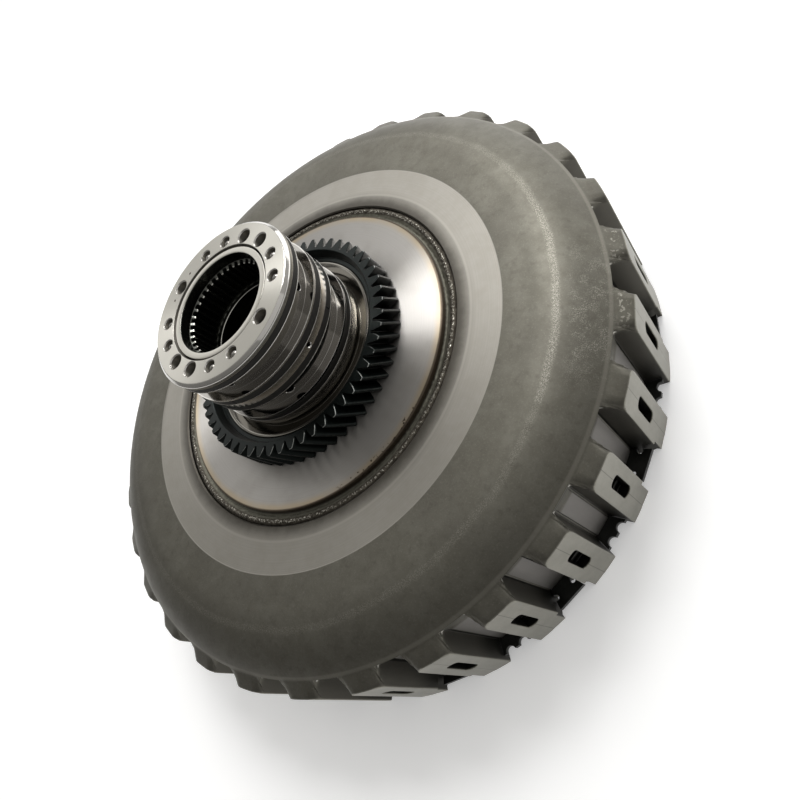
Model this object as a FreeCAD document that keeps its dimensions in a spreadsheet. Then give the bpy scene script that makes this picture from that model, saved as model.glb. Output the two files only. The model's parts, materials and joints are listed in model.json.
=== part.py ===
"""Wet dual-clutch module for a car gearbox, built as its separate pieces.

The rotation axis is +Z.  The open rim of the outer drum stands on z = 0, the oil hub points up.
All sizes are millimetres.
"""
import FreeCAD
import Part
import Sketcher

import math
import os

AXIS_UP = FreeCAD.Vector(0, 0, 1)
ORIGIN = FreeCAD.Vector(0, 0, 0)

# ---------------------------------------------------------------------------------------------
# Driving dimensions
# ---------------------------------------------------------------------------------------------
DIMENSIONS = {
    # outer drum, a deep-drawn plate carrier
    "drum_radius": 126.2,
    "drum_sheet": 3.4,
    "web_top": 57.6,
    "web_land_top": 57.4,
    "web_bottom": 53.8,
    "web_bore": 69.0,
    "land_radius": 86.5,
    "shoulder_start": 98.0,
    "shoulder_radius": 31.8,
    "ridge_radius": 120.5,
    "ridge_height": 48.3,
    "lug_top": 45.0,
    "lug_count": 30,
    "lug_inner": 122.8,
    "lug_groove_width": 7.2,
    "lug_groove_top": 43.5,
    "plain_floor": 117.8,
    "notched_floor": 119.3,
    "floor_top": 35.2,
    "floor_half_width": 4.3,
    "mouth_half_width": 6.7,
    "rim_mouth_half_width": 7.8,
    "rim_mouth_height": 9.0,
    "drum_inner": 114.4,
    "inner_shoulder_end": 48.6,
    "inner_shoulder_radius": 28.2,
    "tab_slot_top": 5.75,
    "cover_seat_low": 1.3,
    "cover_seat_high": 3.5,
    "cover_seat_radius": 119.8,
    "k1_seat_low": 5.8,
    "k1_seat_high": 7.7,
    "k1_seat_radius": 116.5,
    "window_width": 4.4,
    "window_low": 16.8,
    "window_high": 33.2,
    "window_corner": 1.9,
    # main hub with flange
    "hub_top": 104.2,
    "hub_radius": 32.5,
    "hub_bevel": 1.2,
    "hub_bore": 22.7,
    "hub_bore_low": 26.0,
    "hub_bore_step": 44.0,
    "flange_radius": 64.0,
    "flange_top": 58.2,
    "flange_bottom": 52.2,
    "nose_radius": 36.0,
    "nose_bottom": 27.4,
    "gear_seat": 37.6,
    "gear_seat_top": 66.2,
    "hub_foot": 63.4,
    "journal_relief": 32.0,
    "journal_bottom": 66.6,
    "seal_floor": 29.9,
    "feed_floor": 29.0,
    "gallery_circle": 25.95,
    "gallery_radius": 2.7,
    "plugged_radius": 2.2,
    "gallery_depth": 36.0,
    "plugged_depth": 31.0,
    "gallery_phase": 273.98,
    "feed_hole_radius": 1.9,
    "feed_hole_depth": 9.0,
    "feed_hole_high": 95.4,
    "feed_hole_low": 77.5,
    "pin_hole_radius": 0.9,
    "pin_hole_height": 85.7,
    "balance_seat_radius": 34.6,
    "balance_seat_low": 28.0,
    "balance_seat_high": 29.4,
    "bush_bottom": 30.0,
    "bush_top": 42.0,
    # pump drive gear
    "gear_teeth": 55,
    "gear_tip": 46.6,
    "gear_root": 43.3,
    "gear_top": 69.9,
    "gear_bottom": 58.6,
    "gear_recess": 40.5,
    "gear_helix": 29.0,
    "gear_phase": 6.4,
    "gear_end_chamfer": 1.0,
    # running gap between neighbouring plates, and the part of it that the stroke takes up
    "plate_gap": 0.22,
    "plate_travel": 0.20,
    "plate_pairs": 4,
    "friction_thickness": 2.4,
    "steel_thickness": 1.8,
    # outer clutch, K1
    "k1_pack_bottom": 11.6,
    "k1_backing_bottom": 7.6,
    "k1_hub_inner": 92.6,
    "k1_hub_root": 95.4,
    "k1_hub_tip": 97.6,
    "k1_hub_teeth": 36,
    "k1_plate_inner": 99.0,
    "k1_plate_outer": 113.9,
    "k1_tooth_tip": 122.3,
    "k1_tooth_width": 6.4,
    "k1_web_bottom": 7.0,
    "k1_web_top": 9.6,
    "k1_web_raised_bottom": 15.6,
    "k1_web_raised_top": 18.0,
    "k1_web_step_inner": 54.0,
    "k1_web_step_outer": 60.0,
    "k1_hub_top": 28.2,
    "k1_piston_rim": 112.0,
    "k1_piston_wall_inner": 91.0,
    "k1_piston_wall_outer": 94.5,
    "k1_piston_head": 96.2,
    "k1_piston_low": 47.4,
    "k1_piston_high": 50.2,
    "k1_cylinder_inner": 96.5,
    "k1_cylinder_outer": 98.0,
    "k1_cylinder_bottom": 44.4,
    "k1_spring_inner": 42.0,
    "k1_spring_outer": 72.0,
    "k1_spring_low": 44.25,
    "k1_spring_high": 47.35,
    # inner clutch, K2
    "k2_pack_bottom": 19.4,
    "k2_backing_bottom": 15.4,
    "k2_hub_inner": 59.5,
    "k2_hub_root": 62.0,
    "k2_hub_tip": 64.0,
    "k2_hub_teeth": 30,
    "k2_drum_inner": 81.5,
    "k2_drum_groove": 84.6,
    "k2_drum_outer": 87.5,
    "k2_drum_teeth": 24,
    "k2_plate_inner": 65.5,
    "k2_plate_outer": 81.1,
    "k2_tooth_width": 5.4,
    "k2_web_bottom": 41.2,
    "k2_web_top": 44.2,
    "k2_rim_bottom": 12.5,
    "k2_groove_top": 38.1,
    "k2_seat_low": 13.5,
    "k2_hub_bottom": 14.0,
    "k2_hub_top": 36.2,
    "k2_hub_web_bottom": 21.2,
    "k2_hub_web_top": 23.8,
    "k2_piston_rim": 81.2,
    "k2_piston_high": 40.5,
    "k2_spring_circle": 46.0,
    "k2_spring_count": 12,
    "balance_bottom": 29.5,
    "balance_web_top": 31.7,
    "balance_top": 32.6,
    "balance_rim": 57.6,
    "piston_groove_depth": 2.0,
    "piston_clearance": 0.3,
    # drive plate and input hub
    "plate_rim": 124.7,
    "tab_bottom": 3.6,
    "tab_top": 5.6,
    "dish_bottom": 0.8,
    "dish_top": 4.0,
    "well_bottom": 9.2,
    "well_top": 12.2,
    "well_edge": 52.0,
    "dish_inner": 60.0,
    "dish_outer": 104.0,
    "tab_root": 107.0,
    "plate_body": 113.2,
    "tab_root_width": 4.8,
    "tab_end_width": 11.8,
    "tab_hole_radius": 1.1,
    "tab_hole_circle": 120.9,
    "tab_hole_step": 2.0,
    "scallop_radius": 1.9,
    "scallop_circle": 124.9,
    "scallop_step": 1.3,
    "plate_hole_radius": 5.0,
    "plate_hole_circle": 82.0,
    "plate_hole_count": 6,
    "input_radius": 22.0,
    "input_bore": 17.0,
    "input_minor": 15.6,
    "input_teeth": 28,
    "input_bottom": 1.0,
    "input_top": 15.0,
    "input_pilot": 18.0,
    "input_pilot_top": 3.5,
    "input_foot_radius": 25.5,
    "input_foot_top": 6.0,
    # hollow output sleeve and inner output sleeve
    "sleeve_outer": 22.0,
    "sleeve_mouth": 19.4,
    "sleeve_minor": 18.0,
    "sleeve_top": 103.8,
    "sleeve_bottom": 18.4,
    "sleeve_spline_bottom": 87.2,
    "sleeve_collar": 17.6,
    "sleeve_collar_top": 86.0,
    "sleeve_relief": 1.7,
    "sleeve_teeth": 40,
    "inner_sleeve_outer": 16.2,
    "inner_sleeve_minor": 12.4,
    "inner_sleeve_top": 46.0,
    "inner_sleeve_teeth": 26,
}


class Length:
    """A number together with the spreadsheet formula that gives it."""

    def __init__(self, value, formula):
        self.value = value
        self.formula = formula

    @staticmethod
    def of(item):
        return item if isinstance(item, Length) else Length(float(item), repr(float(item)))

    def __add__(self, other):
        other = Length.of(other)
        return Length(self.value + other.value, f"({self.formula} + {other.formula})")

    def __radd__(self, other):
        return Length.of(other) + self

    def __sub__(self, other):
        other = Length.of(other)
        return Length(self.value - other.value, f"({self.formula} - {other.formula})")

    def __mul__(self, other):
        other = Length.of(other)
        return Length(self.value * other.value, f"({self.formula} * {other.formula})")

    def __rmul__(self, other):
        return Length.of(other) * self

    def __truediv__(self, other):
        other = Length.of(other)
        return Length(self.value / other.value, f"({self.formula} / {other.formula})")


def make_document():
    """Make the document and its sheet; return both and the named lengths."""
    document = FreeCAD.newDocument("dual_clutch")
    sheet = document.addObject("Spreadsheet::Sheet", "dims")
    for row, (name, value) in enumerate(DIMENSIONS.items(), start=1):
        sheet.set(f"A{row}", name)
        sheet.set(f"B{row}", str(value))
        sheet.setAlias(f"B{row}", name)
    document.recompute()
    return document, {name: Length(value, f"dims.{name}") for name, value in DIMENSIONS.items()}


doc, D = make_document()


def number(name):
    """The plain value of one driving dimension, read from the sheet."""
    return float(doc.dims.get(name))


# ---------------------------------------------------------------------------------------------
# Sketches and bodies
# ---------------------------------------------------------------------------------------------
def new_body(label):
    body = doc.addObject("PartDesign::Body", label + "_body")
    body.Label = label
    return body


def origin_plane(body, role):
    return next(item for item in body.Origin.OriginFeatures if item.Role == role)


def new_sketch(body, name, role, lift=None):
    """A sketch on one of the body's own origin planes, lifted along the plane's normal."""
    sketch = body.newObject("Sketcher::SketchObject", name)
    sketch.AttachmentSupport = (origin_plane(body, role), [""])
    sketch.MapMode = "FlatFace"
    if lift is not None:
        sketch.setExpression("AttachmentOffset.Base.z", Length.of(lift).formula)
    doc.recompute()
    return sketch


def arc_between(start, end, radius):
    """The short arc from start to end that bulges to the left of the way there (radius > 0)."""
    chord = end - start
    middle = (start + end) * 0.5
    normal = FreeCAD.Vector(-chord.y, chord.x, 0).normalize()
    reach = math.sqrt(radius ** 2 - (chord.Length / 2) ** 2)
    centre = middle - normal * reach if radius > 0 else middle + normal * reach
    top = centre + (normal if radius > 0 else normal * -1) * abs(radius)
    return Part.Arc(start, top, end)


def draw_loop(sketch, corners):
    """A closed outline of bound corners.

    Each corner is (x, y) or (x, y, radius): with a radius, the edge to the next corner is an arc.
    """
    corners = [tuple(Length.of(item) for item in corner) for corner in corners]
    points = [FreeCAD.Vector(corner[0].value, corner[1].value, 0) for corner in corners]
    first = sketch.GeometryCount
    count = len(corners)
    arcs = []
    for index, corner in enumerate(corners):
        start = points[index]
        end = points[(index + 1) % count]
        if len(corner) == 3:
            arc = arc_between(start, end, corner[2].value)
            sketch.addGeometry(arc)
            edge = first + index
            flipped = (sketch.getPoint(edge, 1).distanceToPoint(start)
                       > sketch.getPoint(edge, 2).distanceToPoint(start))
            arcs.append((edge, corner[2], flipped))
        else:
            sketch.addGeometry(Part.LineSegment(start, end))
    ends = {first + index: (1, 2) for index in range(count)}
    for index, radius, flipped in arcs:
        if flipped:
            ends[index] = (2, 1)
    for index in range(count):
        edge = first + index
        following = first + (index + 1) % count
        sketch.addConstraint(
            Sketcher.Constraint("Coincident", edge, ends[edge][1], following, ends[following][0]))
    for index, corner in enumerate(corners):
        edge = first + index
        bind_point(sketch, edge, ends[edge][0], corner[0], corner[1])
    for edge, radius, flipped in arcs:
        index = sketch.addConstraint(Sketcher.Constraint("Radius", edge, abs(radius.value)))
        sketch.setExpression(f"Constraints[{index}]", f"abs({radius.formula})")


def bind_point(sketch, edge, end, x, y):
    """Hold one end of an edge at a bound place."""
    for kind, length, axis in (("DistanceX", x, -2), ("DistanceY", y, -1)):
        if length.value == 0:
            sketch.addConstraint(Sketcher.Constraint("PointOnObject", edge, end, axis))
            continue
        index = sketch.addConstraint(Sketcher.Constraint(kind, -1, 1, edge, end, length.value))
        sketch.setExpression(f"Constraints[{index}]", length.formula)


def revolve(body, corners, name="profile", cut=False):
    """Turn an outline in (radius, height) about the axis of the part."""
    sketch = new_sketch(body, name, "XZ_Plane")
    draw_loop(sketch, corners)
    kind = "PartDesign::Groove" if cut else "PartDesign::Revolution"
    feature = body.newObject(kind, name + ("_groove" if cut else "_turned"))
    feature.Profile = sketch
    feature.ReferenceAxis = (sketch, ["V_Axis"])
    feature.Angle = 360
    doc.recompute()
    return feature


def turned(label, corners):
    """A body that is one turned ring."""
    body = new_body(label)
    revolve(body, corners)
    return body


def ring(label, inner, outer, bottom, top):
    """A plain ring of rectangular section."""
    return turned(label, [(inner, bottom), (outer, bottom), (outer, top), (inner, top)])


def round_groove(body, name, inner, outer, bottom, top):
    """Cut a groove of rectangular section all round the axis."""
    revolve(body, [(inner, bottom), (outer, bottom), (outer, top), (inner, top)], name, cut=True)


def pattern_round(body, feature, count):
    """Repeat a feature evenly about the axis of the part."""
    pattern = body.newObject("PartDesign::PolarPattern", feature.Name + "_pattern")
    pattern.Originals = [feature]
    pattern.Axis = (next(i for i in body.Origin.OriginFeatures if i.Role == "Z_Axis"), [""])
    pattern.Angle = 360
    pattern.setExpression("Occurrences", Length.of(count).formula)
    body.Tip = pattern
    doc.recompute()
    return pattern


def volume_of(body):
    return body.Shape.Volume if not body.Shape.isNull() else 0.0


def slots(body, name, corners, bottom, top, count):
    """Cut a flat outline from bottom up to top and repeat the cut about the axis."""
    before = volume_of(body)
    sketch = new_sketch(body, name, "XY_Plane", bottom)
    draw_loop(sketch, corners)
    pocket = body.newObject("PartDesign::Pocket", name + "_pocket")
    pocket.Profile = sketch
    pocket.setExpression("Length", (Length.of(top) - bottom).formula)
    pocket.Reversed = True
    doc.recompute()
    if volume_of(body) >= before - 0.01:
        raise RuntimeError(f"{name} cuts nothing")
    return pattern_round(body, pocket, count)


def teeth(body, name, corners, bottom, top, count):
    """Add a flat outline from bottom up to top and repeat it about the axis."""
    sketch = new_sketch(body, name, "XY_Plane", bottom)
    draw_loop(sketch, corners)
    pad = body.newObject("PartDesign::Pad", name + "_pad")
    pad.Profile = sketch
    pad.setExpression("Length", (Length.of(top) - bottom).formula)
    doc.recompute()
    return pattern_round(body, pad, count)


def radial_bar(inner, outer, inner_width, outer_width):
    """Corners of a bar that lies along +X, between two radii."""
    return [
        (inner, Length.of(inner_width) * -0.5),
        (outer, Length.of(outer_width) * -0.5),
        (outer, Length.of(outer_width) * 0.5),
        (inner, Length.of(inner_width) * 0.5),
    ]


def drill(name, radius, depth, azimuth, distance, height, radial=False):
    """A drilling: straight down from height, or level and outward when it is radial."""
    cylinder = doc.addObject("Part::Cylinder", name)
    cylinder.setExpression("Radius", Length.of(radius).formula)
    cylinder.setExpression("Height", Length.of(depth).formula)
    angle = Length.of(azimuth)
    reach = Length.of(distance)
    if radial:
        turn = FreeCAD.Rotation(AXIS_UP, angle.value).multiply(
            FreeCAD.Rotation(FreeCAD.Vector(0, 1, 0), 90))
    else:
        turn = FreeCAD.Rotation(FreeCAD.Vector(1, 0, 0), 180)
    cylinder.Placement = FreeCAD.Placement(ORIGIN, turn)
    cylinder.setExpression("Placement.Base.x", f"{reach.formula} * cos({angle.formula} * 1deg)")
    cylinder.setExpression("Placement.Base.y", f"{reach.formula} * sin({angle.formula} * 1deg)")
    cylinder.setExpression("Placement.Base.z", Length.of(height).formula)
    return cylinder


def cut_with(label, base, tools):
    """Cut a list of tool objects out of a base object; the result carries the label."""
    base.Label = label + "_blank"
    for tool in tools:
        tool.Label = f"{label}_tool_{tool.Name}"
    bundle = doc.addObject("Part::Compound", label + "_tools")
    bundle.Links = tools
    result = doc.addObject("Part::Cut", label + "_cut")
    result.Base = base
    result.Tool = bundle
    result.Label = label
    doc.recompute()
    return result


# ---------------------------------------------------------------------------------------------
# Outer drum
# ---------------------------------------------------------------------------------------------
def channel_cutter(name, azimuth, floor):
    """The solid that is removed for one channel between two lugs of the drum."""
    beyond = number("drum_radius") + 4
    inner = number("drum_inner") - 2
    floor_radius = number(floor)
    section = [
        (inner, -1),
        (beyond, -1),
        (beyond, number("web_top")),
        (number("ridge_radius") + 1.4, number("web_top")),
        (number("ridge_radius"), number("ridge_height") + 0.2),
        (floor_radius, number("floor_top")),
        (floor_radius, number("tab_slot_top")),
        (inner, number("tab_slot_top")),
    ]
    half_bar = 9
    corners = [FreeCAD.Vector(radius, -half_bar, height) for radius, height in section]
    bar = Part.Face(Part.makePolygon(corners + corners[:1])).extrude(
        FreeCAD.Vector(0, 2 * half_bar, 0))
    wedge = flat_prism([
        (inner - 1, -channel_half_width(inner - 1)),
        (beyond + 1, -channel_half_width(beyond + 1)),
        (beyond + 1, channel_half_width(beyond + 1)),
        (inner - 1, channel_half_width(inner - 1)),
    ], -2, number("web_top") + 1)
    return placed_tool(name, bar.common(wedge), azimuth)


def channel_half_width(radius):
    """Half the width of a channel at one radius; its side walls lean outward."""
    low = number("floor_half_width")
    high = number("mouth_half_width")
    slope = (high - low) / (number("drum_radius") - number("plain_floor"))
    return low + slope * (radius - number("plain_floor"))


def rim_mouth_cutter(name, azimuth):
    """The step that widens a plain channel near the rim."""
    beyond = number("drum_radius") + 4
    inner = number("plain_floor") + 4
    wide = number("rim_mouth_half_width")
    return placed_tool(name, flat_prism([
        (inner, -channel_half_width(inner)),
        (number("drum_radius") - 1.5, -wide),
        (beyond, -wide),
        (beyond, wide),
        (number("drum_radius") - 1.5, wide),
        (inner, channel_half_width(inner)),
    ], -1, number("rim_mouth_height")), azimuth)


def placed_tool(name, shape, azimuth):
    """A cutting solid, turned to its place about the axis."""
    shape.rotate(ORIGIN, AXIS_UP, azimuth)
    feature = doc.addObject("Part::Feature", name)
    feature.Shape = shape
    return feature


def flat_prism(outline, bottom, top):
    """A straight prism over a flat outline."""
    corners = [FreeCAD.Vector(x, y, bottom) for x, y in outline]
    face = Part.Face(Part.makePolygon(corners + corners[:1]))
    return face.extrude(FreeCAD.Vector(0, 0, top - bottom))


def window_cutter(name, azimuth):
    """A tall slot with round corners through the outer wall of one lug."""
    box = Part.makeBox(8, number("window_width"), number("window_high") - number("window_low"))
    box.translate(FreeCAD.Vector(number("lug_inner") - 3, -number("window_width") / 2,
                                 number("window_low")))
    along = [edge for edge in box.Edges
             if abs(edge.tangentAt(edge.FirstParameter).x) > 0.99]
    return placed_tool(name, box.makeFillet(number("window_corner"), along), azimuth)


def make_outer_drum():
    body = new_body("outer_drum")
    revolve(body, [
        (D["web_bore"], D["web_bottom"]),
        (D["shoulder_start"], D["web_bottom"], D["inner_shoulder_radius"]),
        (D["drum_inner"], D["inner_shoulder_end"]),
        (D["drum_inner"], 0),
        (D["drum_radius"], 0),
        (D["drum_radius"], D["lug_top"]),
        (D["ridge_radius"], D["ridge_height"], D["shoulder_radius"] * -1),
        (D["shoulder_start"], D["web_top"]),
        (D["land_radius"], D["web_top"]),
        (D["land_radius"], D["web_land_top"]),
        (D["web_bore"], D["web_land_top"]),
    ])
    first_lug = 180 / number("lug_count")
    slots(body, "lug_groove",
          radial_bar(D["drum_inner"] - 3, D["lug_inner"],
                     D["lug_groove_width"], D["lug_groove_width"]),
          0, D["lug_groove_top"], D["lug_count"])
    for seat in ("cover_seat", "k1_seat"):
        round_groove(body, seat, D["drum_inner"] - 4, D[seat + "_radius"],
                     D[seat + "_low"], D[seat + "_high"])
    channels = []
    openings = []
    count = int(number("lug_count"))
    for index in range(count):
        azimuth = 360 / count * index
        plain = index % 2 == 0
        channels.append(channel_cutter(f"channel_{index}", azimuth + first_lug,
                                       "plain_floor" if plain else "notched_floor"))
        openings.append(window_cutter(f"window_{index}", azimuth))
        if plain:
            openings.append(rim_mouth_cutter(f"rim_mouth_{index}", azimuth + first_lug))
    fluted = cut_with("outer_drum_fluted", body, channels)
    drum = cut_with("outer_drum", fluted, openings)
    # The first lug is drawn on +X; the finished drum has a channel there.
    drum.Placement = FreeCAD.Placement(ORIGIN, FreeCAD.Rotation(AXIS_UP, first_lug))
    return drum


# ---------------------------------------------------------------------------------------------
# Main hub and what sits on it
# ---------------------------------------------------------------------------------------------
SEAL_GROOVES = ((99.0, 101.3), (87.2, 90.0), (81.7, 84.2), (70.3, 72.8))
FEED_GROOVES = ((90.9, 98.5), (73.8, 81.2))
GALLERY_STEPS = (("open", 0), ("open", 22.5), ("plug", 45), ("plug", 67.5),
                 ("open", 101.25), ("plug", 135), ("plug", 157.5))
# Radial drillings from the galleries to the grooves: radius, height and azimuths in degrees
FEED_HOLES = (("feed_hole_radius", "feed_hole_high", (26.48, 116.48, 206.48, 296.48)),
              ("feed_hole_radius", "feed_hole_low", (48.98, 138.98, 228.98, 318.98)),
              ("pin_hole_radius", "pin_hole_height", (172.73, 352.73)))


def make_hub_flange():
    """The disc that carries the drum: it is shrunk and welded onto the hub tube."""
    return ring("hub_flange", D["nose_radius"], D["flange_radius"],
                D["flange_bottom"], D["flange_top"])


def make_main_hub():
    body = new_body("main_hub")
    revolve(body, [
        (D["hub_bore_low"], D["nose_bottom"]),
        (D["nose_radius"], D["nose_bottom"]),
        (D["nose_radius"], D["flange_top"]),
        (D["gear_seat"], D["flange_top"]),
        (D["gear_seat"], D["gear_seat_top"]),
        (D["gear_seat"] - 1.0, D["gear_seat_top"]),
        (D["journal_relief"], D["hub_foot"]),
        (D["journal_relief"], D["journal_bottom"]),
        (D["hub_radius"], D["journal_bottom"]),
        (D["hub_radius"], D["hub_top"] - D["hub_bevel"]),
        (D["hub_radius"] - D["hub_bevel"], D["hub_top"]),
        (D["hub_bore"], D["hub_top"]),
        (D["hub_bore"], D["hub_bore_step"]),
        (D["hub_bore_low"], D["hub_bore_step"]),
    ])
    grooves = [(low, high, "seal_floor") for low, high in SEAL_GROOVES]
    grooves += [(low, high, "feed_floor") for low, high in FEED_GROOVES]
    for index, (low, high, floor) in enumerate(grooves):
        round_groove(body, f"groove_{index}", D[floor], D["hub_radius"] + 2, low, high)
    round_groove(body, "balance_seat", D["balance_seat_radius"], D["nose_radius"] + 2,
                 D["balance_seat_low"], D["balance_seat_high"])
    tools = []
    for half in (0, 180):
        for kind, step in GALLERY_STEPS:
            azimuth = D["gallery_phase"] - (step + half)
            radius = D["gallery_radius"] if kind == "open" else D["plugged_radius"]
            depth = D["gallery_depth"] if kind == "open" else D["plugged_depth"]
            tools.append(drill(f"gallery_{half}_{int(step)}", radius, depth + 1, azimuth,
                               D["gallery_circle"], D["hub_top"] + 1))
    for radius, height, azimuths in FEED_HOLES:
        for azimuth in azimuths:
            tools.append(drill(f"{height}_{int(azimuth)}", D[radius], D["feed_hole_depth"], azimuth,
                               D["gallery_circle"], D[height], radial=True))
    return cut_with("main_hub", body, tools)


def make_weld_bead():
    """The ring weld between the hub flange and the drum web, with a crowned back."""
    return turned("weld_bead", [
        (D["flange_radius"], D["web_bottom"]),
        (D["web_bore"], D["web_bottom"]),
        (D["web_bore"], D["web_land_top"] - 1.4),
        (D["web_bore"] - 0.6, D["web_land_top"] - 0.9, -2.2),
        (D["web_bore"] - 3.4, D["web_land_top"] - 0.9),
        (D["flange_radius"] + 0.8, D["web_land_top"] - 1.6),
        (D["flange_radius"], D["web_land_top"] - 0.8),
    ])


def gear_section(height, turn):
    """The gear's outline at one height: straight flanks between root and tip."""
    count = int(number("gear_teeth"))
    pitch = 360 / count
    tip = number("gear_tip")
    root = number("gear_root")
    points = []
    for tooth in range(count):
        centre = tooth * pitch + turn
        for radius, offset in ((root, -0.31), (tip, -0.13), (tip, 0.13), (root, 0.31)):
            angle = math.radians(centre + offset * pitch)
            points.append(FreeCAD.Vector(radius * math.cos(angle), radius * math.sin(angle), height))
    return Part.makePolygon(points + points[:1])


def make_pump_drive_gear():
    """A helical ring gear: a ruled stack of sections, trimmed by a turned blank."""
    bottom = number("gear_bottom")
    top = number("gear_top")
    lead = math.degrees(math.tan(math.radians(number("gear_helix"))) / number("gear_tip"))
    spans = 3
    sections = []
    for level in range(spans + 1):
        height = bottom + (top - bottom) * level / spans
        sections.append(gear_section(height, number("gear_phase") + lead * (top - height)))
    toothed = doc.addObject("Part::Feature", "gear_teeth_solid")
    toothed.Shape = Part.makeLoft(sections, True, True)
    blank = turned("gear_blank", [
        (D["gear_seat"], D["gear_bottom"]),
        (D["gear_tip"] - D["gear_end_chamfer"], D["gear_bottom"]),
        (D["gear_tip"], D["gear_bottom"] + D["gear_end_chamfer"]),
        (D["gear_tip"], D["gear_top"] - D["gear_end_chamfer"]),
        (D["gear_tip"] - D["gear_end_chamfer"], D["gear_top"]),
        (D["gear_recess"], D["gear_top"]),
        (D["gear_recess"], D["gear_seat_top"]),
        (D["gear_seat"], D["gear_seat_top"]),
    ])
    gear = doc.addObject("Part::Common", "pump_gear")
    gear.Base = blank
    gear.Tool = toothed
    gear.Label = "pump_drive_gear"
    doc.recompute()
    return gear


def make_seal_rings():
    rings = []
    for index, (low, high) in enumerate(SEAL_GROOVES, start=1):
        rings.append(ring(f"seal_ring_{index}", D["seal_floor"] + 0.15, D["hub_radius"] - 0.05,
                          low + 0.1, high - 0.1))
    return rings


def make_gallery_plugs():
    """Eight pressed balls that close the short drillings."""
    balls = []
    for half in (0, 180):
        for kind, step in GALLERY_STEPS:
            if kind != "plug":
                continue
            ball = doc.addObject("Part::Sphere", f"plug_{half}_{int(step)}")
            ball.setExpression("Radius", "dims.plugged_radius")
            angle = f"(dims.gallery_phase - {step + half}) * 1deg"
            ball.setExpression("Placement.Base.x", f"dims.gallery_circle * cos({angle})")
            ball.setExpression("Placement.Base.y", f"dims.gallery_circle * sin({angle})")
            ball.setExpression("Placement.Base.z", "dims.hub_top - 3.6")
            balls.append(ball)
    group = doc.addObject("Part::Compound", "plug_group")
    group.Links = balls
    group.Label = "gallery_plugs"
    doc.recompute()
    return group


def make_hub_bush():
    return ring("hub_bush", D["sleeve_outer"] + 0.1, D["hub_bore_low"],
                D["bush_bottom"], D["bush_top"])


# ---------------------------------------------------------------------------------------------
# Front side: drive plate, input hub, snap rings
# ---------------------------------------------------------------------------------------------
def make_drive_plate():
    body = new_body("drive_plate")
    revolve(body, [
        (D["input_radius"], D["well_bottom"]),
        (D["well_edge"], D["well_bottom"]),
        (D["dish_inner"], D["dish_bottom"]),
        (D["dish_outer"], D["dish_bottom"]),
        (D["tab_root"], D["tab_bottom"]),
        (D["plate_body"], D["tab_bottom"]),
        (D["plate_body"], D["tab_top"]),
        (D["tab_root"] - 1, D["tab_top"]),
        (D["dish_outer"] - 1, D["dish_top"]),
        (D["dish_inner"] + 1, D["dish_top"]),
        (D["well_edge"] + 1, D["well_top"]),
        (D["input_radius"], D["well_top"]),
    ])
    teeth(body, "tab", radial_bar(D["plate_body"] - 0.7, D["plate_rim"],
                                  D["tab_root_width"], D["tab_end_width"]),
          D["tab_bottom"], D["tab_top"], D["lug_count"])
    tools = []
    count = int(number("lug_count"))
    pitch = 360 / count
    for index in range(count):
        kind = "tab_hole" if index % 2 == 1 else "scallop"
        for side in (-1, 1):
            azimuth = pitch * index + side * number(kind + "_step")
            tools.append(drill(f"{kind}_{index}_{side + 1}", D[kind + "_radius"],
                               2 * number("tab_top"), azimuth, D[kind + "_circle"],
                               D["tab_top"] + 2))
    holes = int(number("plate_hole_count"))
    for index in range(holes):
        tools.append(drill(f"plate_hole_{index}", D["plate_hole_radius"], 3 * number("dish_top"),
                           360 / holes * (index + 0.5), D["plate_hole_circle"],
                           2 * D["dish_top"]))
    return cut_with("drive_plate", body, tools)


def make_input_hub():
    body = new_body("input_hub")
    revolve(body, [
        (D["input_pilot"], D["input_bottom"]),
        (D["input_foot_radius"], D["input_bottom"]),
        (D["input_foot_radius"], D["input_foot_top"]),
        (D["input_radius"], D["well_bottom"]),
        (D["input_radius"], D["input_top"]),
        (D["input_minor"], D["input_top"]),
        (D["input_minor"], D["input_pilot_top"]),
        (D["input_pilot"], D["input_pilot_top"]),
    ])
    slots(body, "input_spline", radial_bar(D["input_minor"] - 1, D["input_bore"], 1.6, 2.0),
          D["input_pilot_top"], D["input_top"], D["input_teeth"])
    return body


def split_ring(label, inner, outer, bottom, top, gap):
    """A snap ring: a flat ring with a gap."""
    body = ring(label, inner, outer, bottom, top)
    slots(body, label + "_gap", radial_bar(Length.of(inner) - 2, Length.of(outer) + 2, gap, gap),
          Length.of(bottom) - 1, Length.of(top) + 1, 1)
    return body


# ---------------------------------------------------------------------------------------------
# Clutch packs
# ---------------------------------------------------------------------------------------------
def toothed_plate(label, inner, outer, bottom, top, tooth, count):
    """A flat ring with a round row of teeth added to its inner or its outer edge."""
    body = ring(label, inner, outer, bottom, top)
    teeth(body, label + "_tooth", tooth, bottom, top, count)
    return body


def make_pack(clutch, steel_tooth, steel_count, friction_tooth, friction_count, friction_outer):
    """Four lined discs and four steel plates, stacked from the backing plate upward."""
    made = []
    height = D[f"{clutch}_pack_bottom"] + D["plate_gap"]
    inner = D[f"{clutch}_plate_inner"]
    outer = D[f"{clutch}_plate_outer"]
    for pair in range(1, int(number("plate_pairs")) + 1):
        top = height + D["friction_thickness"]
        made.append(toothed_plate(f"{clutch}_friction_disc_{pair}",
                                  D[f"{clutch}_hub_tip"] + 0.5, friction_outer, height, top,
                                  friction_tooth, friction_count))
        height = top + D["plate_gap"]
        top = height + D["steel_thickness"]
        made.append(toothed_plate(f"{clutch}_steel_plate_{pair}", inner, outer, height, top,
                                  steel_tooth, steel_count))
        height = top + D["plate_gap"]
    return made, height


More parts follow.
